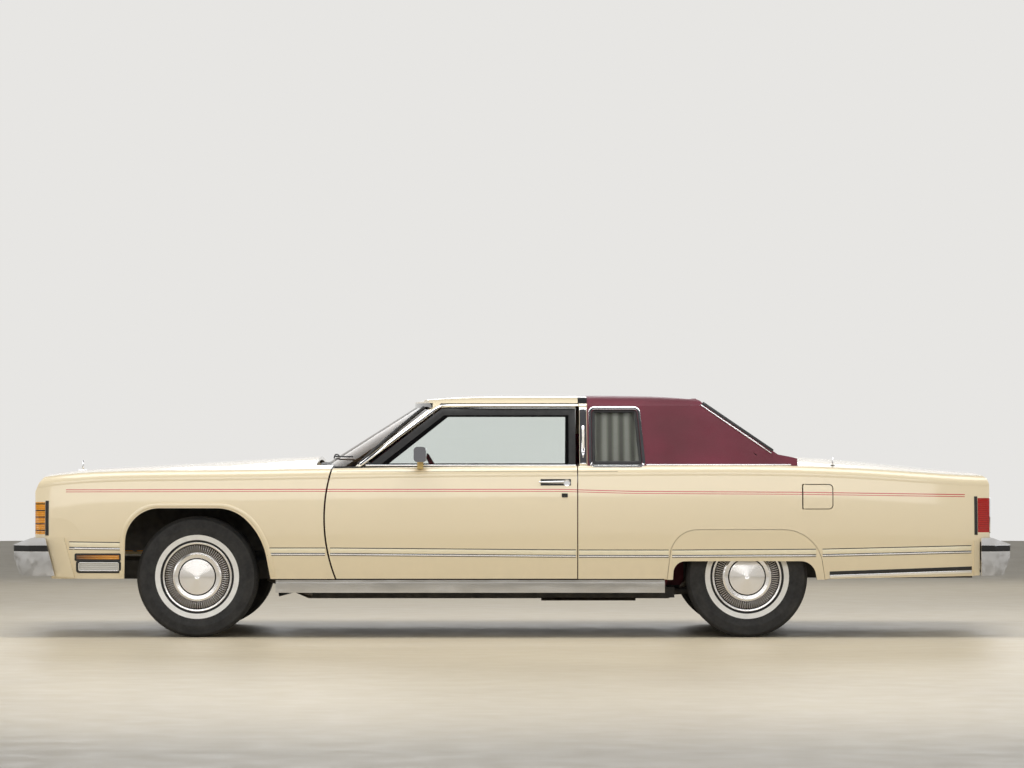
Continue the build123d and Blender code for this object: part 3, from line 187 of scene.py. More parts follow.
# %% finishes
class Finish:
    """A material for one slot of the model."""

    def __init__(self, name, slot, base, roughness, metallic=0.0, **more):
        self.material = bpy.data.materials.new(name)
        self.material.use_nodes = True
        self.slot = slot
        self.tree = self.material.node_tree
        self.shader = self.tree.nodes["Principled BSDF"]
        plain = {"Base Color": (*base, 1), "Roughness": roughness, "Metallic": metallic}
        for key, value in {**plain, **more}.items():
            self.shader.inputs[key.replace("_", " ")].default_value = value

    def start(self, output, kind, wires=None, **settings):
        return start(self.tree, output, kind, wires, **settings)

    def split(self, vector):
        """The three coordinates of a point or a direction."""
        node = add(self.tree, "ShaderNodeSeparateXYZ", {"Vector": vector})
        return [Value(self.tree, node.outputs[axis]) for axis in "XYZ"]

    def place(self):
        return self.start("Object", "ShaderNodeTexCoord")

    def axes(self):
        return self.split(self.place())

    def noise(self, scale, detail=4.0, stretch=(1, 1, 1)):
        """Soft blotches, stretched along an axis where asked."""
        mapping = self.start("Vector", "ShaderNodeMapping", {"Vector": self.place(), "Scale": stretch})
        wires = {"Vector": mapping, "Scale": scale, "Detail": detail}
        return self.start("Fac", "ShaderNodeTexNoise", wires)

    def cells(self, scale, feature="SMOOTH_F1"):
        wires = {"Vector": self.place(), "Scale": scale}
        return self.start("Distance", "ShaderNodeTexVoronoi", wires, feature=feature)

    def marks(self, source):
        return source if isinstance(source, Value) else self.noise(source)

    def join(self, value, key):
        self.tree.links.new(value.socket, self.shader.inputs[key])

    def paint(self, colour, *layers):
        """Colours the surface, then lays one tone over it through each mask."""
        for mask, tone in layers:
            pair = [c if isinstance(c, Value) else (*c, 1) for c in (colour, tone)]
            wires = {"Factor": mask, 6: pair[0], 7: pair[1]}
            colour = self.start(2, "ShaderNodeMix", wires, data_type="RGBA")
        self.join(colour, "Base Color")

    def mottle(self, marks, deep, pale, start=0.3, end=0.7):
        """Colours the surface between two tones that lie close together."""
        self.paint(self.marks(marks).ramp((start, deep), (end, pale)))

    def dull(self, mask):
        """Leaves metal everywhere but under a mask."""
        self.join(mask.scaled(-1.0, 1.0), "Metallic")

    def rough(self, marks, low, high):
        """Gives the roughness a small range, so that a highlight isn't perfectly even."""
        self.join(self.marks(marks).span(0.3, 0.7, low, high), "Roughness")

    def bump(self, marks, strength, distance):
        wires = {"Height": self.marks(marks), "Strength": strength, "Distance": distance}
        self.join(self.start("Normal", "ShaderNodeBump", wires), "Normal")

    def dress(self, *names):
        """Replaces the finish of the named construction pieces."""
        for name in names:
            nodes[name].material_slots[0].material = self.material

    def cover(self):
        """Replaces the finish of every construction piece that has this finish's slot."""
        count = 0
        for node in nodes.values():
            for holder in node.material_slots:
                if holder.material and holder.material.name.split(".")[0] == self.slot:
                    holder.material = self.material
                    count += 1
        print(self.material.name, "finishes", count, "pieces of", self.slot)


print("a finish can be built in a few short lines")

# %% [markdown]
# ## Floor
# A car in a studio stands on a wide, sand-coloured, slightly polished floor. One large
# round disc does it, wide enough that its edge stays far behind the car.

# %% floor
FLOOR_RADIUS = 24
deselect()
bpy.ops.mesh.primitive_circle_add(vertices=96, radius=FLOOR_RADIUS, fill_type="NGON", location=(0, 0, 0))
floor = bpy.context.object
floor.name = "studio_floor"
floor_finish = Finish("floor_paint", None, (0.58, 0.50, 0.36), 0.42)
floor_finish.mottle(floor_finish.noise(0.6, 3.0), (0.56, 0.48, 0.345), (0.61, 0.53, 0.385))
floor_finish.rough(5.0, 0.36, 0.48)
floor.data.materials.append(floor_finish.material)
print("floor laid")

# %% [markdown]
# ## Soft light
# Paint and chrome show what stands around them more than they show the lamps. A long
# softbox above gives the roof and shoulder their highlight, a large one on each side
# shapes the doors, and a dim world fills the rest. The world looks pale to the camera and
# in reflections, so that chrome and glass show the same backdrop. Higher up it falls off
# to a dark studio ceiling, which is what gives chrome and glass their dark parts.

# %% soft boxes
LAMPS = {  # place, turn in degrees, width, depth, power
    "overhead_box": ((0.0, -1.6, 6.0), (0, 0, 0), 9.0, 3.2, 330),
    "left_box": ((-1.0, -8.5, 3.6), (68, 0, 0), 11.0, 2.4, 190),
    "right_box": ((1.0, 8.5, 3.8), (-66, 0, 0), 11.0, 2.4, 190),
    "nose_box": ((-8.5, -2.0, 3.2), (0, -68, 0), 2.4, 5.0, 130),
    "tail_box": ((8.5, -2.0, 3.2), (0, 68, 0), 2.4, 5.0, 130),
}
for name, (place, turn, width, depth, power) in LAMPS.items():
    deselect()
    bpy.ops.object.light_add(type="AREA", location=place, rotation=[math.radians(t) for t in turn])
    lamp = bpy.context.object
    lamp.name = name
    lamp.data.shape = "RECTANGLE"
    lamp.data.size, lamp.data.size_y, lamp.data.energy = width, depth, power
print("five soft boxes hung")

# %% world
HORIZON, CEILING = (0.80, 0.79, 0.77), (0.075, 0.075, 0.078)
world = bpy.data.worlds.new("studio")
scene.world = world
world.use_nodes = True
tree = world.node_tree
dim = tree.nodes["Background"]
dim.inputs["Color"].default_value = (0.93, 0.96, 1.0, 1)
dim.inputs["Strength"].default_value = 0.34
direction = start(tree, "Generated", "ShaderNodeTexCoord")
rise = start(tree, "Z", "ShaderNodeSeparateXYZ", {"Vector": direction})
dome = rise.ramp((0.12, HORIZON), (0.42, CEILING))
bright = add(tree, "ShaderNodeBackground", {"Color": dome, "Strength": 1.0})
path = add(tree, "ShaderNodeLightPath").outputs
seen = Value(tree, path["Is Camera Ray"])
for kind in ("Is Glossy Ray", "Is Transmission Ray"):
    seen = seen.maths("MAXIMUM", path[kind])
switch = add(tree, "ShaderNodeMixShader", {0: seen, 1: dim.outputs[0], 2: bright.outputs[0]})
tree.links.new(switch.outputs[0], tree.nodes["World Output"].inputs["Surface"])
print("a pale horizon and a dark ceiling")

# %% [markdown]
# ## Cream paint with a pinstripe
# The panels carry solid cream enamel under a clear coat. Two hand-thin red lines run from
# the front lamp to the tail lamp and dip a little towards the rear, across every gap, so
# they belong in the paint and not on one panel. A ramp along the car gives the height of
# the lines, and a mask paints where a point lies within a line's width. The band where the
# roof meets the vinyl is black. The lowest part is painted a little darker, as painted
# shade broken up by noise, and a darker line along the shoulder crease is painted shade.
# The same panels form the cabin's walls, so faces that look inwards there are burgundy door
# trim, and the underside of the roof is a pale headliner.

# %% cream paint
STRIPE_START, STRIPE_END = -2.62, 2.66
STRIPE_RISE = ((0.0, 0.60), (0.27, 0.64), (0.55, 0.64), (0.63, 0.52), (0.80, 0.47), (0.98, 0.32))
cream = Finish("cream_enamel", "body_paint", (0.82, 0.73, 0.52), 0.28, Coat_Weight=1.0, Coat_Roughness=0.06)
along, across, up = cream.axes()
height = along.scaled(1 / 5.6, 0.5).ramp(*[(place, (h, h, h)) for place, h in STRIPE_RISE])
offset_up = up + height.scaled(-0.1, -0.8)
both_lines = offset_up.within(0.003, 0.0085) + offset_up.within(-0.0085, -0.004)
outside = abs(across) > 0.86
stripes = both_lines * outside * along.within(STRIPE_START, STRIPE_END)
roof_band = along.within(0.389, 0.446) * (up > 1.375)
header = (along < -0.47) * up.within(1.352, 1.379)
# painted shade: a darker line along the shoulder crease
crease_shade = up.within(0.9725, 0.9765) * along.within(-1.03, 0.62) * outside
# painted shade: the paint darkens towards the bottom, broken up by noise
low_shade = up.span(0.55, 0.25, 0.0, 0.35) * cream.noise(22.0, 6.0)
faces_y, faces_z = cream.split(cream.start("Normal", "ShaderNodeNewGeometry"))[1:]
inward = faces_y * across.maths("SIGN")
trimmed = (inward < -0.3) * along.within(-1.0, 1.10) * (abs(across) < 0.93) * (up > 0.30)
ceiling = (faces_z < -0.3) * (up > 1.2)
enamel_tone = cream.noise(0.7, 1.0).ramp((0.1, (0.815, 0.695, 0.475)), (0.9, (0.825, 0.705, 0.485)))
cream.paint(
    enamel_tone,
    (low_shade, (0.50, 0.43, 0.31)),
    (crease_shade, (0.42, 0.35, 0.24)),
    (stripes, (0.52, 0.035, 0.03)),
    (roof_band.maths("MAXIMUM", header), (0.012, 0.011, 0.011)),
    (trimmed, (0.120, 0.010, 0.020)),
    (ceiling, (0.36, 0.30, 0.22)))
cream.rough(cream.noise(60.0, 2.0), 0.275, 0.295)
cream.bump(cream.noise(420.0, 2.0), 0.02, 0.0003)
cream.cover()

# %% [markdown]
# ## Grained vinyl
# The rear roof is covered in padded burgundy vinyl. Its skin has a fine leather grain, the
# hollows of the grain are painted darker as shade, and two welted seams run back over the
# roof. The grain comes from two Voronoi patterns of slightly different size. The welts are a
# smooth ridge at a set distance from the middle of the car.

# %% grained vinyl
WELT_Y = 0.565
vinyl = Finish("burgundy_vinyl_skin", "burgundy_vinyl", (0.20, 0.012, 0.035), 0.46,
               Sheen_Weight=0.15, Specular_IOR_Level=0.42)
fine = vinyl.cells(330.0)
grain = vinyl.cells(120.0, "F1").scaled(0.5, fine)
along, across, up = vinyl.axes()
from_seam = abs(abs(across) - WELT_Y)
welt = from_seam.span(0.0, 0.007, 1.0, 0.0, interpolation_type="SMOOTHSTEP")
tone = vinyl.noise(3.0, 5.0).ramp((0.3, (0.105, 0.006, 0.016)), (0.7, (0.165, 0.010, 0.030)))
# painted shade: the hollows of the grain are darker
vinyl.paint(tone, (fine.span(0.1, 0.7, 0.35, 0.0), (0.045, 0.003, 0.008)))
vinyl.rough(14.0, 0.40, 0.54)
vinyl.bump((welt * (up > 1.30)).scaled(6.0, grain), 0.35, 0.0009)
vinyl.cover()

# %% [markdown]
# ## Chrome
# Bright plated steel mirrors nearly everything. Real plating is never a perfect mirror:
# it has fine polishing marks along the part and faint water spots, which come from a
# stretched noise in the roughness. The wheel covers are polished stainless steel, a touch
# duller, with a ring of dark cooling fins and a spun centre. The gaps between the fins and
# the two edge lines of the ring are painted nearly black, as painted shade.

# %% chrome
chrome = Finish("plated_chrome", "chrome", (0.86, 0.86, 0.87), 0.06, 1.0)
chrome.rough(chrome.noise(30.0, 6.0, stretch=(0.15, 1, 1)), 0.035, 0.11)
chrome.mottle(6.0, (0.80, 0.80, 0.81), (0.90, 0.90, 0.91), 0.35, 0.65)
chrome.bump(chrome.noise(3.0, 1.0), 0.06, 0.004)
chrome.cover()

# %% wheel cover steel
FRONT_AXLE, REAR_AXLE, WHEEL_HEIGHT = -1.85, 1.381, 0.355
FIN_COUNT = 84
OUTER_SIDE = 0.90


def around_axle(finish):
    """Distance from the nearest axle line, the angle about it, and the distance sideways."""
    along, across, up = finish.axes()
    rise = up - WHEEL_HEIGHT
    run = along - (along > 0.0).scaled(REAR_AXLE - FRONT_AXLE, FRONT_AXLE)
    radius = (run * run + rise * rise).maths("SQRT")
    return radius, rise.maths("ARCTAN2", run), abs(across)


steel = Finish("wheel_cover_steel", "wheel_chrome", (0.78, 0.77, 0.76), 0.14, 1.0)
radius, angle, outward = around_axle(steel)
fin = angle.waves(float(FIN_COUNT))
slot_ring = radius.within(0.143, 0.188)
# painted shade: the gaps between fins and the two edge lines are nearly black
shade = slot_ring * (fin < 0.72)
for edges in ((0.104, 0.1115), (0.1875, 0.1925)):
    shade = shade.maths("MAXIMUM", radius.within(*edges))
steel.paint(
    (0.80, 0.78, 0.76),
    (slot_ring, (0.30, 0.27, 0.24)),
    (shade, (0.018, 0.016, 0.015)),
    (outward < OUTER_SIDE, (0.10, 0.10, 0.105)))
steel.bump((slot_ring * fin).scaled(14.0, radius.waves(5200.0)), 0.25, 0.00025)
steel.rough(40.0, 0.09, 0.20)
steel.cover()

# %% [markdown]
# ## Whitewall tyre
# A thin white band is moulded into the outer sidewall. Black rubber is matt, with fine
# concentric ribs beside the band. The tread's grooves run round the tyre and its sipes
# across it. Everything here depends on the distance from the axle, so one graph serves all
# four tyres: it first finds which axle is nearer.

# %% whitewall tyre
rubber = Finish("tyre_rubber", "tyre", (0.018, 0.018, 0.019), 0.74)
radius, angle, outward = around_axle(rubber)
white_ring = radius.within(0.2165, 0.2465) * (outward > OUTER_SIDE)
side_ribs = radius.within(0.250, 0.322) * radius.waves(900.0)
sipes = angle.scaled(150.0, outward * 120.0).sine()
cut = (radius > 0.349) * outward.waves(215.0).maths("MINIMUM", sipes)
grime = rubber.noise(18.0, 5.0).ramp((0.3, (0.014, 0.014, 0.015)), (0.75, (0.034, 0.033, 0.032)))
white = rubber.noise(30.0).ramp((0.3, (0.78, 0.77, 0.74)), (0.7, (0.86, 0.85, 0.82)))
rubber.paint(grime, (white_ring, white))
rubber.rough(60.0, 0.66, 0.82)
rubber.bump(side_ribs.scaled(0.25, cut * 2.0), 0.6, 0.003)
rubber.cover()

# %% [markdown]
# ## Glass and lamp lenses
# Tinted safety glass lets the far side show through. The windshield and the rear window
# are darker and bend light only weakly, so that they read dark at a slant and don't mirror
# the sky. A lens is clear plastic in a strong colour, with flutes pressed into its back
# that break up the light. The flutes are a bump along the height of the lens, and the
# colour runs from a deep to a pale tone across each flute as painted light and shade.

# %% glass
glass = Finish("tinted_glass", "glass", (0.80, 0.86, 0.84), 0.0, Transmission_Weight=1.0, IOR=1.45)
glass.mottle(1.2, (0.90, 0.94, 0.92), (0.93, 0.96, 0.95))
glass.rough(5.0, 0.0, 0.02)
glass.cover()
tinted = Finish("tinted_windshield", "glass", (0.22, 0.17, 0.12), 0.0, Transmission_Weight=1.0, IOR=1.06)
band = tinted.axes()[2].span(1.0, 1.366, 0.0, 1.0)
tinted.paint(band.ramp((0.0, (0.24, 0.19, 0.14)), (0.7, (0.18, 0.14, 0.10)), (0.95, (0.04, 0.03, 0.02))))
tinted.rough(5.0, 0.0, 0.02)
tinted.dress("windshield", "rear_window")

# %% lamp lenses
LENSES = {"amber_lens": ((0.80, 0.27, 0.008), (0.95, 0.42, 0.02)),
          "red_lens": ((0.40, 0.004, 0.003), (0.62, 0.016, 0.008)),
          "clear_lens": ((0.62, 0.60, 0.56), (0.80, 0.79, 0.76))}
for slot, (deep, pale) in LENSES.items():
    lens = Finish(slot + "_plastic", slot, deep, 0.12,
                  Transmission_Weight=0.25, Coat_Weight=0.4, Coat_Roughness=0.05)
    along, across, up = lens.axes()
    flutes = up.waves(520.0)
    layers = []
    if slot == "amber_lens":
        marker = (up < 0.52) * along.span(-2.56, -2.36, 0.85, 0.0)
        bars = (along < -2.70) * (up.scaled(162.0, -97.1).sine() < -0.86)
        layers = [(marker, (0.06, 0.008, 0.004)), (bars, (0.015, 0.012, 0.010))]
    # painted light and shade: each flute runs from a deep to a pale tone
    lens.paint(flutes.scaled(0.5, 0.5).ramp((0.1, deep), (0.9, pale)), *layers)
    lens.rough(50.0, 0.08, 0.16)
    lens.bump(flutes, 0.4, 0.0015)
    lens.cover()

# %% [markdown]
# ## Underneath and inside
# The chassis wears black underseal with dust on it, the castings are rough and oily, the
# exhaust is dull steel with heat tint, and the radiator has a fine core. Above the floor
# the same pan carries burgundy carpet, so its material changes at the floor's mid height
# inside the cabin.

# %% running gear finishes
underseal = Finish("underseal", "chassis_black", (0.022, 0.021, 0.020), 0.7)
along, across, up = underseal.axes()
cabin = along.within(-1.125, 1.02) * (up > 0.297)
dusty = underseal.noise(12.0, 6.0).ramp((0.3, (0.016, 0.016, 0.016)), (0.75, (0.055, 0.050, 0.043)))
carpet = underseal.noise(700.0, 3.0).ramp((0.3, (0.060, 0.006, 0.012)), (0.7, (0.135, 0.014, 0.028)))
underseal.paint(dusty, (cabin, carpet))
underseal.rough(30.0, 0.6, 0.85)
underseal.bump(underseal.noise(260.0, 5.0), 0.35, 0.002)
underseal.cover()

casting = Finish("oily_casting", "cast_metal", (0.12, 0.13, 0.14), 0.5, 0.6)
casting.mottle(casting.noise(9.0, 6.0), (0.05, 0.055, 0.06), (0.17, 0.18, 0.19))
casting.rough(25.0, 0.35, 0.65)
casting.bump(300.0, 0.4, 0.0012)
casting.cover()

pipe = Finish("heat_tinted_pipe", "exhaust_steel", (0.35, 0.32, 0.29), 0.4, 1.0)
heat = pipe.noise(5.0, 6.0)
pipe.paint(heat.ramp((0.3, (0.18, 0.13, 0.10)), (0.55, (0.36, 0.33, 0.30)), (0.8, (0.42, 0.38, 0.33))))
pipe.rough(18.0, 0.3, 0.6)
pipe.bump(120.0, 0.2, 0.0008)
pipe.cover()

core = Finish("radiator_core", "radiator_metal", (0.02, 0.02, 0.02), 0.5, 0.4)
along, across, up = core.axes()
fins, tubes = up.waves(1800.0), across.waves(520.0)
core.mottle(tubes, (0.012, 0.012, 0.012), (0.06, 0.055, 0.05), 0.4, 0.9)
core.rough(30.0, 0.4, 0.65)
core.bump(fins + tubes, 0.5, 0.0015)
core.cover()

# %% cabin finishes
leather = Finish("burgundy_leather", "seat_leather", (0.16, 0.012, 0.026), 0.42)
leather.mottle(leather.noise(6.0, 5.0), (0.125, 0.009, 0.020), (0.205, 0.017, 0.036))
leather.rough(20.0, 0.34, 0.52)
leather.bump(leather.noise(45.0, 6.0).scaled(1.2, leather.cells(260.0)), 0.3, 0.0012)
leather.cover()

moulded = Finish("moulded_burgundy", "interior_trim", (0.13, 0.012, 0.022), 0.55)
moulded.mottle(8.0, (0.105, 0.009, 0.017), (0.150, 0.014, 0.026))
moulded.rough(30.0, 0.48, 0.62)
moulded.bump(moulded.noise(500.0, 3.0), 0.25, 0.0006)
moulded.cover()

# %% [markdown]
# ## Modelling helpers
# New pieces are made the way they would be by hand: a primitive at its size and place,
# edits in edit mode, then modifiers that are applied. These helpers hold the steps that
# every piece shares. A trim piece for a side starts as a flat sheet beside the car and is
# pressed onto a panel. Two helpers hand a finished piece its material and the body that it
# moves with, and one of them mirrors it to the right side.

# %% primitives and modifiers
SHEET_Y = -1.4  # where a sheet starts, beside the left of the car
RAY_START = -1.5  # further out than any panel


def pick(*pieces):
    deselect()
    for piece in pieces:
        piece.select_set(True)
    bpy.context.view_layer.objects.active = pieces[0]


@contextmanager
def editing(piece):
    """Works on one piece in edit mode with all of it selected, then leaves edit mode."""
    pick(piece)
    bpy.ops.object.mode_set(mode="EDIT")
    bpy.ops.mesh.select_all(action="SELECT")
    yield
    bpy.ops.object.mode_set(mode="OBJECT")


def choose(piece, kind, test):
    """In edit mode, selects the vertices, edges or faces whose middle passes a test."""
    bpy.ops.mesh.select_mode(type=kind)
    bpy.ops.mesh.select_all(action="DESELECT")
    mesh = bmesh.from_edit_mesh(piece.data)
    for part in {"VERT": mesh.verts, "EDGE": mesh.edges, "FACE": mesh.faces}[kind]:
        points = [part] if kind == "VERT" else part.verts
        part.select = bool(test(sum((v.co for v in points), Vector()) / len(points)))
    mesh.select_flush_mode()
    bmesh.update_edit_mesh(piece.data)


def born(name):
    """Names a new primitive and puts its place, turn and size into its mesh."""
    piece = bpy.context.object
    piece.name = name
    bpy.ops.object.transform_apply(location=True, rotation=True, scale=True)
    return piece


def work(piece, kind, **settings):
    """Adds one modifier and applies it."""
    pick(piece)
    modifier = piece.modifiers.new(kind, kind)
    for key, value in settings.items():
        setattr(modifier, key, value)
    bpy.ops.object.modifier_apply(modifier=modifier.name)
    return piece


def repeat(piece, count, step):
    """Makes a row of copies, each one step on from the last."""
    work(piece, "ARRAY", count=count, use_relative_offset=False,
         use_constant_offset=True, constant_offset_displace=step)


def block(name, low, high, round_off, segments=3):
    """A cuboid between two corners with every edge rounded."""
    deselect()
    low, high = Vector(low), Vector(high)
    bpy.ops.mesh.primitive_cube_add(size=1, location=(low + high) / 2, scale=high - low)
    piece = born(name)
    with editing(piece):
        bpy.ops.mesh.bevel(offset=round_off, segments=segments, affect="EDGES")
    return piece


def rod(name, foot, head, radius, tip=None, sides=20):
    """A round bar between two points with its two rims rounded, tapered to tip if given."""
    deselect()
    foot, head = Vector(foot), Vector(head)
    run = head - foot
    bpy.ops.mesh.primitive_cone_add(
        vertices=sides, radius1=radius, radius2=tip or radius, depth=run.length,
        location=(foot + head) / 2, rotation=run.to_track_quat("Z", "Y").to_euler())
    piece = born(name)
    with editing(piece):
        choose(piece, "FACE", lambda at: min((at - foot).length, (at - head).length) < run.length * 0.02)
        bpy.ops.mesh.bevel(offset=(tip or radius) * 0.35, segments=2, affect="EDGES")
    return piece


print("primitives and modifiers ready")

# %% sheets and fitting
def outline(name, corners, radius=0.0, segments=5):
    """A flat face with the given corners, rounded if a radius is given."""
    deselect()
    bpy.ops.mesh.primitive_circle_add(vertices=len(corners), fill_type="NGON")
    piece = born(name)
    for vertex, corner in zip(piece.data.vertices, corners):
        vertex.co = corner
    if radius:
        with editing(piece):
            bpy.ops.mesh.bevel(offset=radius, segments=segments, affect="VERTICES")
    return piece


def side_sheet(name, corners, radius=0.0, segments=5):
    """A flat face beside the left of the car; each corner is (along, up)."""
    return outline(name, [(x, SHEET_Y, z) for x, z in corners], radius, segments)


def hollow_out(piece, width):
    """Insets a flat face and removes its middle, which leaves a frame of one width."""
    with editing(piece):
        bpy.ops.mesh.inset(thickness=width)
        bpy.ops.mesh.delete(type="FACE")


def skin(x, z, *names):
    """Where the outermost of the named construction pieces stands on the left side."""
    hits = [nodes[name].ray_cast(Vector((x, RAY_START, z)), Vector((0, 1, 0)))[:2] for name in names]
    places = [place.y for hit, place in hits if hit and place.y < 0]
    if not places:
        raise ValueError(f"nothing of {names} stands at x {x:.4f}, z {z:.4f}")
    return min(places)


def press(piece, *names):
    """Moves every vertex along Y onto the outermost of the named construction pieces."""
    for vertex in piece.data.vertices:
        vertex.co.y = skin(vertex.co.x, vertex.co.z, *names)


def even_normals(piece):
    with editing(piece):
        bpy.ops.mesh.normals_make_consistent(inside=False)


def sink(piece, rim, step, test):
    """Insets the chosen faces by a rim and moves them, which makes a dished middle."""
    with editing(piece):
        choose(piece, "FACE", test)
        bpy.ops.mesh.inset(thickness=rim)
        bpy.ops.transform.translate(value=step)


def face_out(piece):
    """Turns an open sheet's faces towards -Y, the outside of the left side."""
    with editing(piece):
        bpy.ops.mesh.normals_make_consistent(inside=False)
        bpy.context.object.update_from_editmode()
        if sum(face.normal.y * face.area for face in piece.data.polygons) > 0:
            bpy.ops.mesh.flip_normals()


def thicken(piece, proud, round_off):
    """Gives a pressed sheet its thickness towards the outside, and rounds its edges."""
    face_out(piece)
    work(piece, "SOLIDIFY", thickness=proud, offset=1)
    work(piece, "BEVEL", width=round_off, segments=2, limit_method="ANGLE", angle_limit=math.radians(50))


def moulding(name, node, ends, levels, height, proud, round_off=0.0012):
    """A strip laid along a panel from one end to the other, at a height that may change."""
    deselect()
    start_x, end_x = ends
    run = end_x - start_x
    bpy.ops.mesh.primitive_grid_add(
        x_subdivisions=max(2, int(abs(run) / 0.05)), y_subdivisions=max(1, int(height / 0.03)), size=1,
        location=((start_x + end_x) / 2, SHEET_Y, 0), rotation=(math.radians(90), 0, 0))
    bpy.context.object.scale = (run, height, 1)
    piece = born(name)
    for vertex in piece.data.vertices:
        share = (vertex.co.x - start_x) / run
        vertex.co.z += levels[0] + share * (levels[1] - levels[0])
    press(piece, node)
    thicken(piece, proud, round_off)
    return piece


def fit(piece, finish, body="body", slot=None, smooth=40):
    """Gives a finished piece its material, its shading and the body that it moves with."""
    pick(piece)
    piece.data.materials.clear()
    piece.data.materials.append(finish.material)
    bpy.ops.object.shade_smooth_by_angle(angle=math.radians(smooth))
    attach(piece, body)
    slot or finish.slot
    return piece


def fit_pair(piece, finish, body="body", slot=None, smooth=40):
    """Fits a left piece, then a mirrored copy with its own mesh on the right."""
    fit(piece, finish, body, slot, smooth)
    pick(piece)
    bpy.ops.object.duplicate(linked=False)
    other = bpy.context.object
    other.name = piece.name.replace("left", "right")
    other.scale.y = -1
    bpy.ops.object.transform_apply(location=True, rotation=True, scale=True)
    even_normals(other)
    fit(other, finish, body.replace("left", "right"), slot, smooth)
    return other


def lamp_frame(name, x, width, height, band, proud):
    """A bright frame round a lamp on a face that looks forwards or back."""
    (y0, y1), (z0, z1) = width, height
    rim = outline(name, [(x, y0, z0), (x, y0, z1), (x, y1, z1), (x, y1, z0)], 0.010, 5)
    hollow_out(rim, band)
    with editing(rim):
        bpy.ops.mesh.extrude_region_move(TRANSFORM_OT_translate={"value": (proud, 0, 0)})
    even_normals(rim)
    fit_pair(rim, chrome)


print("modelling helpers ready")

# %% [markdown]
# ## Rubber and black paint
# Gaskets, glazing rubber and the blacked-out cowl share one matt black. It isn't a pure
# black: fine grain and a little dust keep its form readable.

# %% black rubber
black_rubber = Finish("black_rubber", "interior_trim", (0.012, 0.012, 0.012), 0.5)
black_rubber.mottle(black_rubber.noise(25.0, 5.0), (0.008, 0.008, 0.008), (0.022, 0.021, 0.020), 0.3, 0.8)
black_rubber.rough(60.0, 0.40, 0.62)
black_rubber.bump(black_rubber.noise(500.0, 3.0), 0.15, 0.0005)
black_rubber.dress("cowl")
print("cowl blacked out")
# painted highlight: the insert is painted paler than the body, as light falling on it
highlight_insert = Finish("vinyl_insert_painted_highlight", "body_paint", (0.86, 0.78, 0.57), 0.4)
highlight_insert.mottle(30.0, (0.84, 0.76, 0.55), (0.88, 0.80, 0.60))
highlight_insert.rough(60.0, 0.34, 0.46)
highlight_insert.bump(highlight_insert.noise(500.0, 3.0), 0.1, 0.0004)

# %% [markdown]
# ## Side mouldings
# A vinyl insert with a bright bead under it runs along each side at knee height, on a
# thin black gasket. The insert is painted paler than the body, as a painted highlight. It
# is broken at every gap, so that the doors can open, and it crosses the removable rear
# skirt. Each length is a strip pressed onto its own panel, so it keeps the panel's curve.
# The front length sits a little higher than the rest.

# %% side mouldings
RUNS = (
    ("front", "front_fender_left", "body", (-2.598, -2.286), (0.540, 0.536)),
    ("wing", "front_fender_left", "body", (-1.434, -1.095), (0.505, 0.505)),
    ("door", "door_left", "door_left", (-1.065, 0.376), (0.505, 0.4935)),
    ("quarter", "quarter_panel_left", "body", (0.392, 0.918), (0.4935, 0.493)),
    ("skirt", "fender_skirts", "body", (0.938, 1.782), (0.493, 0.4975)),
    ("tail", "quarter_panel_left", "body", (1.820, 2.696), (0.498, 0.518)),
)
STRIPS = (("gasket", 0.0, 0.048, 0.0006, 0.0002, black_rubber),  # lift, height, proud, rounding
          ("bar", 0.0055, 0.027, 0.0021, 0.0014, highlight_insert),
          ("bead", -0.0165, 0.008, 0.0019, 0.0012, chrome))
for part, node, body, ends, (front_z, rear_z) in RUNS:
    for layer, lift, height, proud, round_off, finish in STRIPS:
        levels = (front_z + lift, rear_z + lift)
        strip = moulding(f"{part}_moulding_{layer}_left", node, ends, levels, height, proud, round_off)
        fit_pair(strip, finish, body)
print(len(RUNS), "lengths of moulding on each side")

# %% [markdown]
# ## Lower rear trim
# Behind the rear wheel the bottom of the quarter panel carries a recess with a bright
# moulding under it, which rises towards the bumper. A thin black strip in the recess is
# its painted shade.

# %% lower rear trim
# painted shade: a black strip stands for the shade in the recess
fit_pair(
    moulding("tail_recess_left",
        "quarter_panel_left", (1.862, 2.700), (0.378, 0.4065), 0.021, 0.0012, 0.0004),
    black_rubber)
lower = moulding(
    "tail_lower_moulding_left", "quarter_panel_left", (1.862, 2.700), (0.359, 0.386), 0.017, 0.0036, 0.0014)
fit_pair(lower, chrome)
print("lower rear trim fitted")

# %% [markdown]
# ## Wheel arch lips
# The front arch has a rolled lip that catches the light from above. It starts as a face
# in the shape of the arch, with each corner rounded by its own amount. The middle is cut
# out, the foot is cut off level with the panel, and the band is pressed onto the fender.

# %% wheel arch lips
def arch_lip(name, node, corners, radii, width, proud, foot_z):
    """A band of one width in the outline of a wheel arch, pressed onto its panel."""
    piece = side_sheet(name, corners)
    for (x, z), radius in zip(corners, radii):
        if radius:
            with editing(piece):
                choose(piece, "VERT", lambda at: abs(at.x - x) + abs(at.z - z) < 0.001)
                bpy.ops.mesh.bevel(offset=radius, segments=14, affect="VERTICES", offset_type="OFFSET")
    hollow_out(piece, width)
    with editing(piece):
        bpy.ops.mesh.bisect(plane_co=(0, 0, foot_z), plane_no=(0, 0, 1), clear_inner=True)
    press(piece, node)
    thicken(piece, proud, 0.0018)
    return piece


FROM_AXLE = ((-0.460, -0.30), (-0.443, 0.434), (0.250, 0.434), (0.421, 0.245), (0.512, -0.30))
FRONT_ARCH = [(FRONT_AXLE + x, WHEEL_HEIGHT + z) for x, z in FROM_AXLE]
lip = arch_lip(
    "front_arch_lip_left", "front_fender_left", FRONT_ARCH, (0, 0.220, 0.121, 0.122, 0), 0.022, 0.005, 0.36)
fit_pair(lip, cream)
print("arch lips rolled")
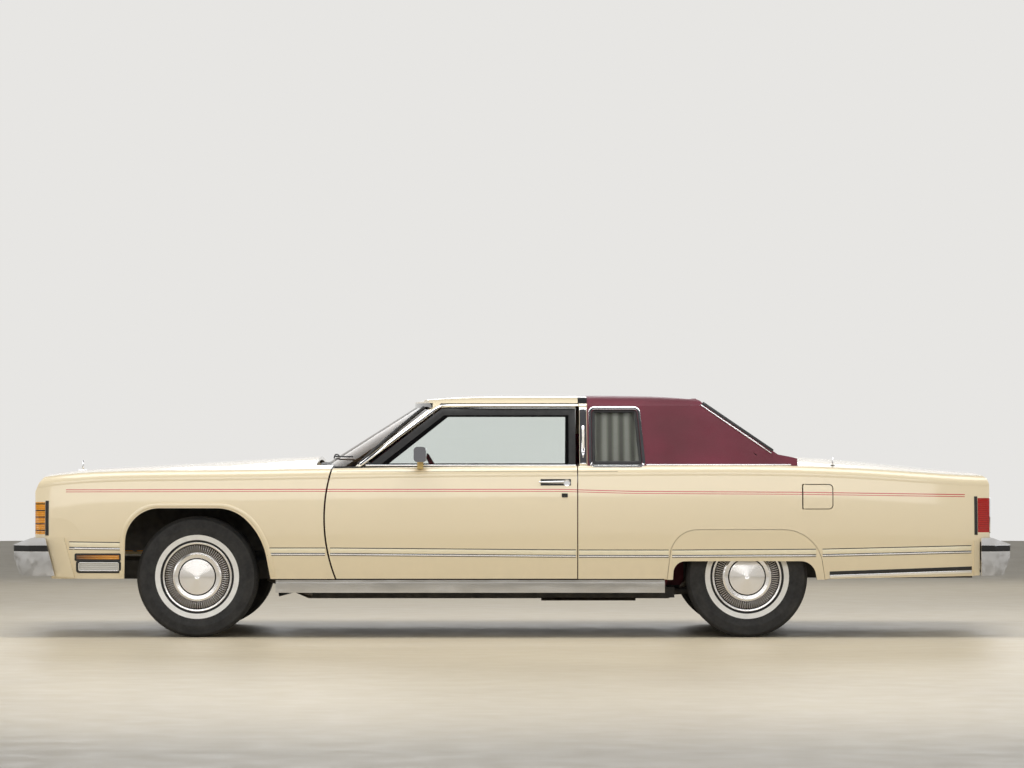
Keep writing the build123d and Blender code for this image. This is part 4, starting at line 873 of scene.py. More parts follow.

# %% [markdown]
# ## Door window
# The door has no metal frame. Its glass carries a wide black border along the top, the
# front and the rear, partly a black weatherstrip and partly painted shade of the dark
# inside, and a rubber wiper seals it at the sill. The border is a face in the outline of
# the glass with its middle cut out, and its foot is cut off at the sill.

# %% door window
GLASS_EDGE = ((-0.857, 1.0), (-0.421, 1.341), (-0.400, 1.345), (0.374, 1.345), (0.374, 0.95), (-0.857, 0.95))
# partly a black weatherstrip, partly painted shade of the dark inside
border = side_sheet("window_border_left", GLASS_EDGE)
hollow_out(border, 0.040)
with editing(border):
    bpy.ops.mesh.bisect(plane_co=(0, 0, 1.012), plane_no=(0, 0, 1), clear_inner=True)
press(border, "door_glass_left")
thicken(border, 0.0022, 0.0008)
fit_pair(border, black_rubber, "door_left")
wiper = block("sill_wiper_left", (-0.850, -0.8935, 1.000), (0.374, -0.8775, 1.0135), 0.004)
fit_pair(wiper, black_rubber, "door_left")
fit_pair(
    rod("sill_bead_left", (-0.862, -0.9005, 1.0095), (0.376, -0.9005, 1.0095), 0.0045),
    chrome, "door_left")
print("door glass bordered and sealed")

# %% [markdown]
# ## Drip rail and windshield pillar
# A bright rail runs up the windshield pillar and back over the door to the lock pillar.
# Rain from the roof runs along it instead of into the window. It is a strip in two
# overlapping lengths, one up the pillar's edge and one along the roof.

# %% drip rail
RAIL = (("rail_pillar_left", (-0.8940, 1.012), (-0.4195, 1.3655)),
        ("rail_roof_left", (-0.425, 1.3665), (0.392, 1.3665)))
for name, (foot_x, foot_z), (head_x, head_z) in RAIL:
    deselect()
    run = Vector((head_x - foot_x, head_z - foot_z))
    bpy.ops.mesh.primitive_grid_add(
        x_subdivisions=24, y_subdivisions=1, size=1,
        location=((foot_x + head_x) / 2, SHEET_Y, (foot_z + head_z) / 2),
        rotation=(math.radians(90), -math.atan2(run.y, run.x), 0))
    bpy.context.object.scale = (run.length, 0.013, 1)
    rail = born(name)
    press(rail, "roof")
    thicken(rail, 0.006, 0.0025)
    fit_pair(rail, chrome)
print("drip rails run from cowl to lock pillar")

# %% [markdown]
# ## Lock pillar and coach lamp
# Between the door window and the opera window stands a bright pillar cover. It carries a
# slim upright lamp: a pale lens in a chrome case, with a pointed foot.

# %% lock pillar
fit_pair(
    moulding("pillar_cover_left", "roof", (0.3995, 0.4395), (1.195, 1.195), 0.352, 0.003, 0.0012),
    chrome)


def lean(z):
    """Where the side of the roof stands at a height, on the left side."""
    return -0.8103 - (1.20 - z) * 0.447


fit_pair(
    rod("coach_lamp_case_left",
        (0.4195, lean(1.082) - 0.010, 1.082), (0.4195, lean(1.242) - 0.010, 1.242), 0.0105),
    chrome)
lamp_lens = block(
    "coach_lamp_lens_left", (0.4125, lean(1.162) - 0.026, 1.110), (0.4265, lean(1.162) - 0.008, 1.222), 0.004)
for vertex in lamp_lens.data.vertices:
    vertex.co.y += lean(vertex.co.z) - lean(1.162)
frosted = Finish("frosted_lens", "clear_lens", (0.80, 0.76, 0.66), 0.2, Coat_Weight=0.7)
frosted.mottle(60.0, (0.72, 0.68, 0.58), (0.86, 0.83, 0.75))
frosted.rough(80.0, 0.12, 0.26)
frosted.bump(frosted.axes()[2].waves(900.0), 0.3, 0.001)
fit_pair(lamp_lens, frosted)
fit_pair(
    rod("coach_lamp_foot_left",
        (0.4195, lean(1.058) - 0.006, 1.058), (0.4195, lean(1.084) - 0.010, 1.084), 0.004, tip=0.0100),
    chrome)
print("pillar covers and coach lamps fitted")

# %% [markdown]
# ## Opera window
# The small fixed window sits in the vinyl behind the pillar. A broad bright frame stands
# proud of the vinyl and its lower bar turns onto the shoulder of the body. Inside it a
# black rubber holds the glass. A pleated cloth lines the inside of the pane; its colour runs
# from dark in each fold to pale on each crest, as painted shade and painted light.

# %% opera window
LINING_GAP = 0.014
OPENING = ((0.470, 1.013), (0.470, 1.338), (0.738, 1.338), (0.768, 1.013))
OUTER = ((0.452, 0.996), (0.452, 1.356), (0.755, 1.356), (0.787, 0.996))
surround = side_sheet("opera_frame_left", OUTER, 0.036, 8)
hollow_out(surround, 0.0165)
press(surround, "vinyl_roof", "quarter_panel_left")
thicken(surround, 0.006, 0.0024)
fit_pair(surround, chrome)


def pane_side(z):
    """Where the outside of the opera glass stands at a height, on the left side."""
    return -0.8922 + (z - 1.03) * 0.486


rubber_ring = side_sheet("opera_rubber_left", OPENING, 0.024, 8)
hollow_out(rubber_ring, 0.019)
for vertex in rubber_ring.data.vertices:
    vertex.co.y = pane_side(vertex.co.z)
thicken(rubber_ring, 0.009, 0.003)
fit_pair(rubber_ring, black_rubber)
pleats = Finish("pleated_lining", "interior_trim", (0.30, 0.28, 0.25), 0.8, Sheen_Weight=0.3)
fold = pleats.axes()[0].waves(95.0)
# painted light and shade: each pleat runs from a dark fold to a pale crest
pleats.mottle(fold.scaled(0.5, 0.5), (0.16, 0.15, 0.13), (0.42, 0.40, 0.36), 0.1, 0.9)
pleats.rough(50.0, 0.7, 0.9)
pleats.bump(pleats.noise(600.0).scaled(0.2, fold), 0.6, 0.004)
lining = side_sheet("opera_lining_left", ((0.474, 1.018), (0.474, 1.333), (0.735, 1.333), (0.763, 1.018)))
for vertex in lining.data.vertices:
    vertex.co.y = pane_side(vertex.co.z) + LINING_GAP
with editing(lining):
    bpy.ops.mesh.subdivide(number_cuts=3)
thicken(lining, 0.002, 0.0006)
fit_pair(lining, pleats)
print("opera windows framed")

# %% [markdown]
# ## Vinyl roof edges
# A bright bead closes the foot of the vinyl along the shoulder. Up the slope behind the
# side, the rear window's moulding shows as a broad black rubber with a bright line under
# it. These are straight bars with rounded ends.

# %% vinyl roof edges
def vinyl_side(z):
    """Where the side of the vinyl stands at a height, on the left side."""
    return -0.9113 + (z - 1.02) * 0.489


fit_pair(rod("vinyl_foot_bead_left", (0.790, -0.9175, 1.0125), (1.640, -0.9175, 1.0125), 0.0048), chrome)
fit_pair(
    rod("slope_rubber_left",
        (1.128, vinyl_side(1.376) + 0.010, 1.3765), (1.536, vinyl_side(1.092) + 0.010, 1.0925), 0.0120),
    black_rubber)
fit_pair(
    rod("slope_line_left",
        (1.118, vinyl_side(1.366) - 0.001, 1.3665), (1.528, vinyl_side(1.081) - 0.001, 1.0815), 0.0042),
    chrome)
print("vinyl edges closed")

# %% [markdown]
# ## Door handle and lock
# The handle is a flat chrome lever that ends in a round push button, over a small square
# lock. A lever this flat is close to the panel, so a black block behind it, the painted
# shade of a finger recess, helps it to read. The lever is a block whose front end is
# narrowed by hand.

# %% door handle
at_handle = skin(0.25, 0.911, "door_left")
print("panel behind the handle stands at", round(at_handle, 4))
# painted shade: a black block stands for the shade in the finger recess
recess_shade = block(
    "handle_recess_left", (0.168, at_handle - 0.0010, 0.892), (0.346, at_handle + 0.006, 0.930), 0.0009)
press_back = at_handle - 0.0085
lever = block("handle_lever_left", (0.156, press_back, 0.9035), (0.306, at_handle + 0.002, 0.9205), 0.0035, 4)
with editing(lever):
    choose(lever, "VERT", lambda at: at.x < 0.163)
    bpy.ops.transform.resize(value=(1, 1, 0.55))
fit_pair(lever, chrome, "door_left")
for vertex in recess_shade.data.vertices:
    vertex.co.y += skin(vertex.co.x, vertex.co.z, "door_left") - at_handle
fit_pair(recess_shade, black_rubber, "door_left")
button = rod(
    "handle_button_left",
    (0.322, at_handle + 0.004, 0.908), (0.322, press_back + 0.0005, 0.908), 0.0215, sides=32)
sink(button, 0.006, (0, 0.003, 0), lambda at: at.y < press_back + 0.002)
fit_pair(button, chrome, "door_left")
at_lock = skin(0.309, 0.834, "door_left")
lock = block("door_lock_left", (0.292, at_lock - 0.004, 0.823), (0.327, at_lock + 0.004, 0.846), 0.0016)
sink(lock, 0.004, (0, 0.002, 0), lambda at: at.y < at_lock - 0.0035)
fit_pair(lock, black_rubber, "door_left")
print("door handles and locks fitted")

# %% [markdown]
# ## Mirror
# The driver's mirror is a dark plated head on a gold-toned foot. The construction piece is
# one solid, so its finish changes from plate to paint at the neck. The mirror plate itself
# is a new, thin pane in the head's rear face.

# %% mirror
mirror_finish = Finish("mirror_finish", "chrome", (0.20, 0.20, 0.21), 0.06)
neck = mirror_finish.axes()[2] < 1.030
mirror_finish.paint((0.20, 0.20, 0.21), (neck, (0.62, 0.46, 0.17)))
mirror_finish.dull(neck)
mirror_finish.rough(30.0, 0.05, 0.14)
mirror_finish.dress("door_mirror_left")
silvered = Finish("silvered_glass", "chrome", (0.75, 0.78, 0.78), 0.02, 1.0)
silvered.mottle(8.0, (0.70, 0.73, 0.73), (0.80, 0.83, 0.83))
silvered.rough(40.0, 0.01, 0.04)
fit(
    block("mirror_pane_left", (-0.5045, -1.055, 1.036), (-0.5020, -0.939, 1.112), 0.0009),
    silvered, "door_left")
print("mirror silvered")

# %% [markdown]
# ## Lamp surrounds on the front fender
# The side marker and the cornering lamp each sit in a dark bezel. A thin black strip parts
# the tall parking lamp from the paint. The bezels are frames pressed onto the fender.

# %% front lamp surrounds
BEZELS = (
    ("marker_bezel_left", (-2.566, -2.293), (0.449, 0.494), 0.009, 0.010, black_rubber),
    ("cornering_bezel_left", (-2.558, -2.292), (0.378, 0.453), 0.018, 0.0145, black_rubber),
    ("cornering_rim_left", (-2.5445, -2.3055), (0.3905, 0.4415), 0.010, 0.0035, chrome),
)
for name, (x0, x1), (z0, z1), radius, width, finish in BEZELS:
    bezel = side_sheet(name, ((x0, z0), (x0, z1), (x1, z1), (x1, z0)), radius, 6)
    hollow_out(bezel, width)
    press(bezel, "front_fender_left", "parking_lamps", "cornering_lamps")
    thicken(bezel, 0.0045 if finish is chrome else 0.0032, 0.0012)
    fit_pair(bezel, finish)
fit_pair(
    moulding("parking_lamp_edge_left",
        "front_fender_left", (-2.7405, -2.7205), (0.7, 0.7), 0.204, 0.002, 0.0008),
    black_rubber)
fit_pair(
    moulding("tail_lamp_edge_left",
        "quarter_panel_left", (2.7145, 2.7335), (0.715, 0.715), 0.226, 0.002, 0.0008),
    black_rubber)
print("lamp surrounds fitted")

# %% [markdown]
# ## Hood ornament and antenna
# A slim post stands on the nose of the hood, and the retracted antenna's tip shows on the
# rear fender. Both are turned parts: a short base and a tapered post.

# %% ornament and antenna
ORNAMENT_X, HOOD_TOP = -2.617, 0.974
base = block(
    "ornament_base",
    (ORNAMENT_X - 0.030, -0.012, HOOD_TOP - 0.004), (ORNAMENT_X + 0.026, 0.012, HOOD_TOP + 0.007), 0.003)
fit(base, chrome, "hood")
post = rod(
    "ornament_post", (ORNAMENT_X, 0, HOOD_TOP + 0.004), (ORNAMENT_X, 0, HOOD_TOP + 0.064), 0.0065, tip=0.0045)
with editing(post):
    bpy.ops.transform.resize(value=(1, 1.7, 1))
fit(post, chrome, "hood")
fit(block("antenna_foot", (1.879, -0.815, 0.985), (1.909, -0.785, 1.012), 0.007), black_rubber)
antenna = rod("antenna_tip", (1.894, -0.800, 1.005), (1.894, -0.800, 1.060), 0.0045, tip=0.0032)
fit(antenna, chrome)
print("ornament and antenna set")

# %% [markdown]
# ## Grille and front lamp covers
# The upright grille is a chrome shell round a row of fine vertical bars. The shell's face
# behind the bars is painted black, as painted shade inside the grille. One bar is modelled,
# and an Array modifier repeats it. The hidden headlamps' covers each get a thin bright frame.

# %% grille
shell = Finish("grille_shell", "chrome", (0.86, 0.86, 0.87), 0.07, 1.0)
along, across, up = shell.axes()
# painted shade: the shell's face behind the bars is black
opening_shade = (along > -2.8445) * up.within(0.606, 0.886) * across.within(-0.298, 0.298)
shell.paint((0.86, 0.86, 0.87), (opening_shade, (0.010, 0.010, 0.010)))
shell.dull(opening_shade)
shell.rough(40.0, 0.05, 0.12)
shell.dress("grille")
bar = block("grille_bars", (-2.8495, -0.2945, 0.606), (-2.8395, -0.2895, 0.886), 0.0016, 2)
repeat(bar, 37, (0, 0.01622, 0))
fit(bar, chrome)
fit(block("grille_crossbar", (-2.8498, -0.297, 0.742), (-2.840, 0.297, 0.750), 0.002, 2), chrome)
lamp_frame("headlamp_frame_left", -2.803, (-0.352, -0.793), (0.652, 0.833), 0.008, -0.0028)
print("grille bars and lamp cover frames fitted")

# %% [markdown]
# ## Bumpers
# Both bumpers are pressed chrome beams with a black rubber strip along their nose. The
# strip goes round the corners, so it is a band in the bumper's finish, set by height, with
# a slight swell in the surface. The beam is hollow and open where its corners are cut
# back, so a plate closes each corner: a flat grid whose points are laid on its line.

# %% bumpers
bumper_steel = Finish("bumper_chrome", "chrome", (0.86, 0.86, 0.87), 0.07, 1.0)
strip = bumper_steel.axes()[2].within(0.506, 0.541)
bumper_steel.paint((0.85, 0.85, 0.86), (strip, (0.012, 0.012, 0.012)))
bumper_steel.dull(strip)
bumper_steel.rough(20.0, 0.05, 0.13)
bumper_steel.bump(bumper_steel.noise(3.0).scaled(0.15, strip), 0.3, 0.004)
bumper_steel.dress("front_bumper", "rear_bumper")
print("bumpers banded in black rubber")

# %% bumper corners
CORNER = ((2.8300, 1.0020), (2.9250, 0.9300), (2.9585, 0.7030))


def bumper_height(x):
    """The lowest and highest edge of the bumper's face at a distance from the middle."""
    top = 0.5855 - (x - 2.812) * 0.341 if x < 2.941 else 0.5415 - (x - 2.941) * 1.11
    low = 0.3665 if x < 2.883 else 0.366 + (x - 2.883) * 2.439
    return min(low, 0.520), max(top, 0.523)


for end, face in (("front", -1), ("rear", 1)):
    deselect()
    bpy.ops.mesh.primitive_grid_add(x_subdivisions=16, y_subdivisions=8, size=2)
    corner = born(f"{end}_bumper_corner_left")
    for vertex in corner.data.vertices:
        across_share, rise_share = (vertex.co.x + 1) / 2, (vertex.co.y + 1) / 2
        (x0, y0), (x1, y1) = CORNER[:2] if across_share < 0.5 else CORNER[1:]
        share = across_share * 2 % 1 if across_share < 1 else 1
        x = x0 + share * (x1 - x0)
        low_z, top_z = bumper_height(x)
        vertex.co = (face * x, -(y0 + share * (y1 - y0)), low_z + rise_share * (top_z - low_z))
    face_out(corner)
    work(corner, "SOLIDIFY", thickness=0.003, offset=-1)
    fit_pair(corner, bumper_steel)
print("bumper corners closed")

# %% [markdown]
# ## Licence plates
# Each plate is a thin pressed sheet with a raised rim and nothing written on it. It leans
# with the face of the bumper that it is bolted to, so a flat block is sheared by moving
# its lower edge back.

# %% licence plates
PLATE_TOP, PLATE_LEAN = 0.500, 0.41
plate_paint = Finish("plate_enamel", "chrome", (0.72, 0.72, 0.70), 0.35)
plate_paint.mottle(9.0, (0.66, 0.66, 0.64), (0.76, 0.76, 0.74))
plate_paint.rough(30.0, 0.28, 0.45)
for end, face in (("front", -1), ("rear", 1)):
    near_x, far_x = sorted((face * 2.938, face * 2.9405))
    plate = block(f"{end}_plate", (near_x, -0.150, 0.385), (far_x, 0.150, PLATE_TOP), 0.0011, 2)
    sink(plate, 0.006, (-face * 0.0008, 0, 0), lambda at: abs(at.x) > 2.9402)
    for vertex in plate.data.vertices:
        vertex.co.x -= face * (PLATE_TOP - vertex.co.z) * PLATE_LEAN
    fit(plate, plate_paint)
print("two blank plates mounted")

# %% [markdown]
# ## Tail
# The tail lamps wrap the corners. Each has a bright frame round its rear face and two
# bright bars across it. Between them a ribbed bright panel spans the tail under the lid,
# with a round lock in its middle.

# %% tail
LAMP_FACE = 2.8062
lamp_frame("tail_lamp_frame_left", LAMP_FACE - 0.0030, (-0.556, -0.944), (0.612, 0.823), 0.009, 0.0050)
lamp_bar = block(
    "tail_lamp_bar_left", (LAMP_FACE - 0.003, -0.935, 0.6795), (LAMP_FACE + 0.002, -0.560, 0.6845), 0.0014, 2)
repeat(lamp_bar, 2, (0, 0, 0.069))
fit_pair(lamp_bar, chrome)
ribs = block(
    "tail_panel_ribs", (LAMP_FACE - 0.0030, -0.545, 0.640), (LAMP_FACE + 0.0015, 0.545, 0.646), 0.0012, 2)
repeat(ribs, 12, (0, 0, 0.0135))
fit(ribs, chrome)
fit(rod("trunk_lock", (LAMP_FACE - 0.004, 0, 0.845), (LAMP_FACE + 0.003, 0, 0.845), 0.017, sides=32), chrome)
print("tail dressed")

# %% [markdown]
# ## Windshield trim and wipers
# A black moulding closes the glass along each pillar. The wipers park low on the glass.
# The glass bends back towards the pillars, so each blade is a smooth curve through points
# that follow the bend, given a round section and made a mesh.

# %% windshield trim and wipers
def on_glass(y, z, off):
    """A point in front of the windshield at a given stand-off."""
    bend = (y / 0.8) ** 2
    x = -1.148 + 0.232 * bend + (z - 1.004) * (1.586 - 0.332 * bend)
    return Vector((x - 0.5 * off, y, z + 0.85 * off))


def wire_piece(name, points, thickness):
    """A smooth round bar through a few points, turned into a mesh."""
    deselect()
    bpy.ops.curve.primitive_nurbs_path_add()
    bar = bpy.context.object
    bar.name = name
    spline = bar.data.splines[0]
    while len(spline.points) < len(points):
        spline.points.add(1)
    spline.points.foreach_set("co", [v for p in points for v in (*p, 1.0)])
    spline.use_endpoint_u = True
    spline.order_u = 3
    bar.data.bevel_depth = thickness
    bar.data.bevel_resolution = 3
    bar.data.use_fill_caps = True
    bpy.ops.object.convert(target="MESH")
    return born(name)


for side, start_y, end_y in (("left", -0.62, -0.06), ("right", 0.14, 0.66)):
    span = [start_y + (end_y - start_y) * i / 5 for i in range(6)]
    blade = wire_piece(f"wiper_blade_{side}", [on_glass(y, 1.050, 0.012) for y in span], 0.0045)
    fit(blade, black_rubber)
    middle = (start_y + end_y) / 2
    bends = ((end_y, 1.046, 0.005), (end_y - 0.02, 1.052, 0.018), (end_y - 0.16, 1.056, 0.022),
             (middle, 1.053, 0.018), (middle - 0.01, 1.050, 0.014))
    arm = wire_piece(f"wiper_arm_{side}", [on_glass(*bend) for bend in bends], 0.0040)
    fit(arm, black_rubber, slot="chrome")
PILLAR = ((-0.800, 1.012), (-0.770, 1.09), (-0.723, 1.19), (-0.677, 1.29), (-0.648, 1.352))
side_trim = wire_piece("windshield_trim_left", [on_glass(y, z, 0.002) for y, z in PILLAR], 0.0105)
fit_pair(side_trim, black_rubber)
print("windshield trimmed, wipers parked")

# %% [markdown]
# ## Upholstery
# Both benches are stuffed leather over a frame. Cushions like these are best made by
# inflating them: each half starts as a plain rounded block, is rebuilt in small even
# faces, and Cloth swells it with air pressure, which pulls its sides in between the
# corners. Only the left halves are made, and their mirrored copies fill the right side.
# The sewn channels come last, as the rebuild would wipe them out.

# %% upholstery helpers
SWELL_LIMIT = 0.022
FRAMES = 20
SEAM_WIDTH = 0.010
FRONT_SEAMS = (-0.19, -0.30, -0.41, -0.52, -0.63)
REAR_SEAMS = (-0.16, -0.27, -0.38, -0.49)


def inflate(piece, pressure=4.0, cell=0.007):
    """Swells a block into a cushion, with a limit on how far each point may move."""
    work(piece, "REMESH", mode="VOXEL", voxel_size=cell)
    before = [vertex.co.copy() for vertex in piece.data.vertices]
    pick(piece)
    cloth = piece.modifiers.new("air", "CLOTH")
    cloth.settings.quality = 5
    cloth.settings.mass = 0.3
    cloth.settings.use_pressure = True
    cloth.settings.uniform_pressure_force = pressure
    cloth.settings.effector_weights.gravity = 0.0
    cloth.point_cache.frame_start, cloth.point_cache.frame_end = 1, FRAMES
    for step in range(1, FRAMES + 1):
        scene.frame_set(step)
    bpy.ops.object.modifier_apply(modifier="air")
    scene.frame_set(1)
    for vertex, old in zip(piece.data.vertices, before):
        move = vertex.co - old
        if move.length > SWELL_LIMIT:
            vertex.co = old + move * (SWELL_LIMIT / move.length)
    work(piece, "SMOOTH", factor=0.5, iterations=4)


def stitch(piece, seams, depth, outwards):
    """Sews channels: points near each seam are drawn in along a direction."""
    pull = Vector(outwards)
    for vertex in piece.data.vertices:
        near = min(abs(vertex.co.y - seam) for seam in seams)
        vertex.co -= pull * depth * math.exp(-((near / SEAM_WIDTH) ** 2))


def lean_back(piece, foot_z, slope):
    """Leans a block back as it rises, like the frame of a backrest."""
    for vertex in piece.data.vertices:
        vertex.co.x += (vertex.co.z - foot_z) * slope


def pad(name, low, high, corner, slope=0.0, foot_z=0.0):
    """A rounded block, leaned back if asked, then inflated."""
    piece = block(name, low, high, corner, 4)
    with editing(piece):
        bpy.ops.mesh.subdivide(number_cuts=2)
    lean_back(piece, foot_z, slope)
    inflate(piece)
    return piece


print("upholstery helpers ready")

# %% front bench
fit_pair(block("front_bench_base_left", (-0.215, -0.752, 0.306), (0.372, -0.190, 0.445), 0.012), moulded)
front_cushion = pad("front_cushion_left", (-0.205, -0.735, 0.435), (0.285, -0.028, 0.548), 0.035, 0.0)
for vertex in front_cushion.data.vertices:
    vertex.co.z = max(vertex.co.z, 0.42)
stitch(front_cushion, FRONT_SEAMS, 0.010, (0, 0, 1))
fit_pair(front_cushion, leather, smooth=60)
front_back = pad("front_backrest_left", (0.300, -0.730, 0.520), (0.392, -0.028, 0.962), 0.030, 0.30, 0.54)
stitch(front_back, FRONT_SEAMS, -0.008, (1, 0, 0))
fit_pair(front_back, leather, smooth=60)
headrest = pad("front_headrest_left", (0.444, -0.510, 1.000), (0.492, -0.250, 1.076), 0.020)
fit_pair(headrest, leather, smooth=60)
post = rod("headrest_post_left", (0.468, -0.440, 0.930), (0.468, -0.440, 1.010), 0.0055)
repeat(post, 2, (0, 0.12, 0))
fit_pair(post, chrome)
print("front bench made, each half with", len(front_cushion.data.vertices), "points in its cushion")

# %% rear bench
rear_cushion = pad("rear_cushion_left", (0.725, -0.580, 0.400), (1.030, -0.025, 0.548), 0.035)
stitch(rear_cushion, REAR_SEAMS, 0.010, (0, 0, 1))
fit_pair(rear_cushion, leather, smooth=60)
rear_back = pad("rear_backrest_left", (1.062, -0.580, 0.590), (1.128, -0.025, 0.955), 0.028, 0.33, 0.59)
stitch(rear_back, REAR_SEAMS, -0.008, (1, 0, 0))
fit_pair(rear_back, leather, smooth=60)
print("rear bench made")

FRONT = ["front_cushion", "front_backrest", "front_headrest", "front_bench_base", "headrest_post"]
REAR = ["rear_cushion", "rear_backrest"]
for part in FRONT + REAR:
    for side in ("left", "right"):
        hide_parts("front_seat" if part in FRONT else "rear_seat")
print("the padded pieces stand for the plain benches")

# %% [markdown]
# ## Cabin details
# What shows through the glass and the open doors gets its own pieces: an instrument
# panel with round dials and a bright strip, a rear-view mirror, and armrests, pulls and
# kick carpets on the doors. Each is a rounded block or a turned part.

# %% dashboard
wood = Finish("walnut_panel", "interior_trim", (0.10, 0.045, 0.02), 0.3, Coat_Weight=0.5)
grain_lines = wood.noise(14.0, 6.0, stretch=(1, 0.2, 3))
wood.mottle(grain_lines, (0.055, 0.022, 0.010), (0.16, 0.075, 0.034))
wood.rough(40.0, 0.25, 0.4)
wood.bump(grain_lines, 0.1, 0.0005)
dial = Finish("dial_face", "interior_trim", (0.02, 0.02, 0.02), 0.35)
dial.mottle(90.0, (0.012, 0.012, 0.012), (0.035, 0.035, 0.035))
DASH_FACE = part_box("dashboard")[1][0]
DIAL_HEIGHT = 0.850
fit(
    block("instrument_panel", (DASH_FACE - 0.004, -0.640, 0.790), (DASH_FACE + 0.004, -0.110, 0.905), 0.003),
    wood)
for index, y in enumerate((-0.560, -0.445, -0.300, -0.185)):
    ring_piece = rod(f"dial_{index + 1}", (DASH_FACE + 0.002, y, DIAL_HEIGHT),
                     (DASH_FACE + 0.011, y, DIAL_HEIGHT), 0.040, sides=32)
    sink(ring_piece, 0.005, (-0.004, 0, 0), lambda at: at.x > DASH_FACE + 0.0105)
    fit(ring_piece, chrome)
    ring_piece.data.materials.append(dial.material)
    for face in ring_piece.data.polygons:
        from_middle = math.hypot(face.center.y - y, face.center.z - DIAL_HEIGHT)
        if face.center.x > DASH_FACE + 0.0045 and from_middle < 0.034:
            face.material_index = 1
fit(block("radio_panel", (DASH_FACE - 0.004, -0.080, 0.765), (DASH_FACE + 0.006, 0.140, 0.885), 0.004), dial)
knob = rod("radio_knobs", (DASH_FACE + 0.003, -0.055, 0.825), (DASH_FACE + 0.022, -0.055, 0.825), 0.011)
repeat(knob, 2, (0, 0.170, 0))
fit(knob, chrome)
fit(block("glove_box_lid", (DASH_FACE - 0.004, 0.240, 0.740), (DASH_FACE + 0.004, 0.690, 0.890), 0.003), wood)
fit(block("dash_strip", (DASH_FACE - 0.003, -0.790, 0.912), (DASH_FACE + 0.004, 0.790, 0.920), 0.002), chrome)
print("dashboard dressed at x =", round(DASH_FACE, 3))

# %% cabin fittings
fit(rod("rear_view_stem", (-0.560, 0, 1.352), (-0.500, 0, 1.312), 0.005), chrome)
fit(block("rear_view_mirror", (-0.505, -0.115, 1.283), (-0.482, 0.115, 1.335), 0.007), black_rubber)
fit(block("rear_view_glass", (-0.4825, -0.108, 1.289), (-0.4805, 0.108, 1.329), 0.0007), silvered)
CABIN_SIDE = -0.5  # inside the cabin, clear of the seats


def inside_skin(x, z):
    """The inner face of the left door."""
    return nodes["door_left"].ray_cast(Vector((x, CABIN_SIDE, z)), Vector((0, -1, 0)))[1].y


at_door = inside_skin(-0.2, 0.68)
print("inner face of the door stands at", round(at_door, 3))
armrest = block("armrest_left", (-0.480, at_door - 0.002, 0.640), (0.120, at_door + 0.060, 0.695), 0.018, 4)
with editing(armrest):
    choose(armrest, "VERT", lambda at: at.x < -0.44)
    bpy.ops.transform.translate(value=(0, 0, 0.030))
fit_pair(armrest, leather, "door_left", slot="interior_trim")
pull = rod("door_pull_left", (-0.400, at_door + 0.020, 0.800), (-0.180, at_door + 0.020, 0.800), 0.008)
fit_pair(pull, chrome, "door_left")
fit_pair(
    block("door_carpet_left", (-0.900, at_door - 0.002, 0.375), (0.330, at_door + 0.006, 0.520), 0.004),
    moulded, "door_left")
print("mirror, armrests, pulls and kick carpets fitted")

# %% [markdown]
# ## Under the hood
# The engine is one plain block in the construction model. A round air cleaner, two valve
# covers, a fan and a battery say what it is when the hood is up. The fan's blades are one
# blade spun round its axis in copies.

# %% under the hood
enamel = Finish("engine_enamel", "cast_metal", (0.02, 0.06, 0.16), 0.4)
enamel.mottle(enamel.noise(12.0, 5.0), (0.014, 0.045, 0.12), (0.026, 0.075, 0.19))
enamel.rough(30.0, 0.32, 0.55)
enamel.bump(250.0, 0.2, 0.0006)
engine_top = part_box("engine")[1][2]
CLEANER_X = -1.800
fit_pair(
    block("valve_cover_left",
        (-2.130, -0.275, engine_top - 0.010), (-1.470, -0.165, engine_top + 0.042), 0.018, 4),
    enamel)
deselect()
bpy.ops.mesh.primitive_cylinder_add(
    vertices=48, radius=0.150, depth=0.060, location=(CLEANER_X, 0, engine_top + 0.029))
cleaner = born("air_cleaner")
with editing(cleaner):
    choose(cleaner, "FACE", lambda at: at.z > engine_top + 0.058)
    bpy.ops.mesh.inset(thickness=0.020)
    bpy.ops.transform.translate(value=(0, 0, -0.006))
    bpy.ops.mesh.inset(thickness=0.090)
    bpy.ops.transform.translate(value=(0, 0, 0.008))
work(cleaner, "BEVEL", width=0.004, segments=3, limit_method="ANGLE", angle_limit=math.radians(40))
fit(cleaner, enamel)
fit(
    rod("air_cleaner_nut", (CLEANER_X, 0, engine_top + 0.055), (CLEANER_X, 0, engine_top + 0.074), 0.008),
    chrome)
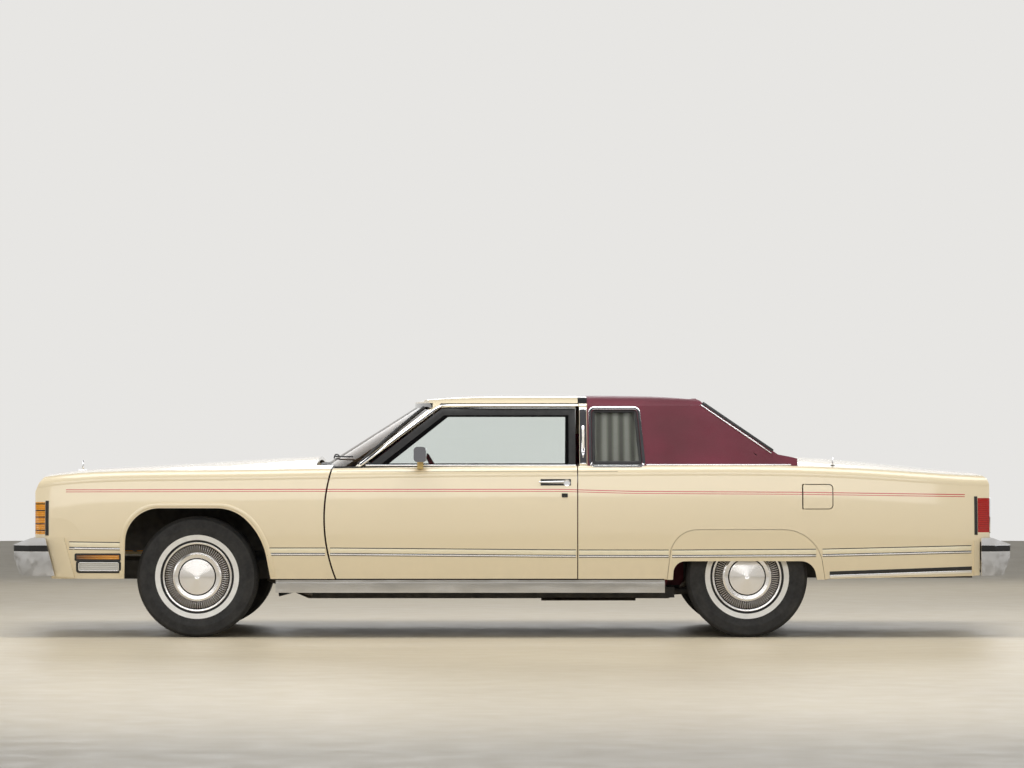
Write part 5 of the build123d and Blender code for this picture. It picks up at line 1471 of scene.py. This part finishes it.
FAN_X, FAN_Z = -2.300, 0.665
fan = block(
    "cooling_fan", (FAN_X - 0.004, -0.030, FAN_Z + 0.035), (FAN_X + 0.004, 0.030, FAN_Z + 0.185), 0.0025, 2)
with editing(fan):
    bpy.ops.transform.rotate(value=math.radians(24), orient_axis="Z", center_override=(FAN_X, 0, FAN_Z))
    bpy.ops.mesh.spin(steps=5, dupli=True, angle=math.radians(300), center=(FAN_X, 0, FAN_Z), axis=(1, 0, 0))
fit(fan, casting)
fit(rod("fan_hub", (FAN_X - 0.018, 0, FAN_Z), (-2.172, 0, FAN_Z), 0.042, sides=28), casting)
battery = block("battery", (-2.440, 0.440, 0.600), (-2.260, 0.600, 0.770), 0.008)
fit(battery, black_rubber)
terminal = rod("battery_terminals", (-2.310, 0.465, 0.765), (-2.310, 0.465, 0.785), 0.009)
repeat(terminal, 2, (0, 0.11, 0))
fit(terminal, casting)
fit(rod("radiator_cap", (-2.530, 0.0, 0.878), (-2.530, 0.0, 0.893), 0.024, sides=32), chrome)
print("engine dressed")

# %% [markdown]
# ## Wheel cover fins
# The dark ring of each wheel cover is a row of pressed cooling fins. One thin fin is
# modelled at the top of the wheel and spun round the axle in copies, so every cover is one
# mesh with a few dozen faces in each fin.

# %% wheel cover fins
for corner, axle in (("front", FRONT_AXLE), ("rear", REAR_AXLE)):
    depth = skin(axle, WHEEL_HEIGHT + 0.166, f"wheel_{corner}_left")
    fin_piece = block(f"{corner}_cover_fins_left", (axle - 0.0011, depth - 0.0028, WHEEL_HEIGHT + 0.147),
                      (axle + 0.0011, depth + 0.001, WHEEL_HEIGHT + 0.185), 0.0007, 1)
    with editing(fin_piece):
        bpy.ops.mesh.spin(steps=FIN_COUNT - 1, dupli=True, angle=math.radians(360 - 360 / FIN_COUNT),
                          center=(axle, depth, WHEEL_HEIGHT), axis=(0, 1, 0))
    fit_pair(fin_piece, chrome, f"{corner}_left_wheel", "wheel_chrome")
    print(corner, "covers carry", FIN_COUNT, "fins at y =", round(depth, 4))
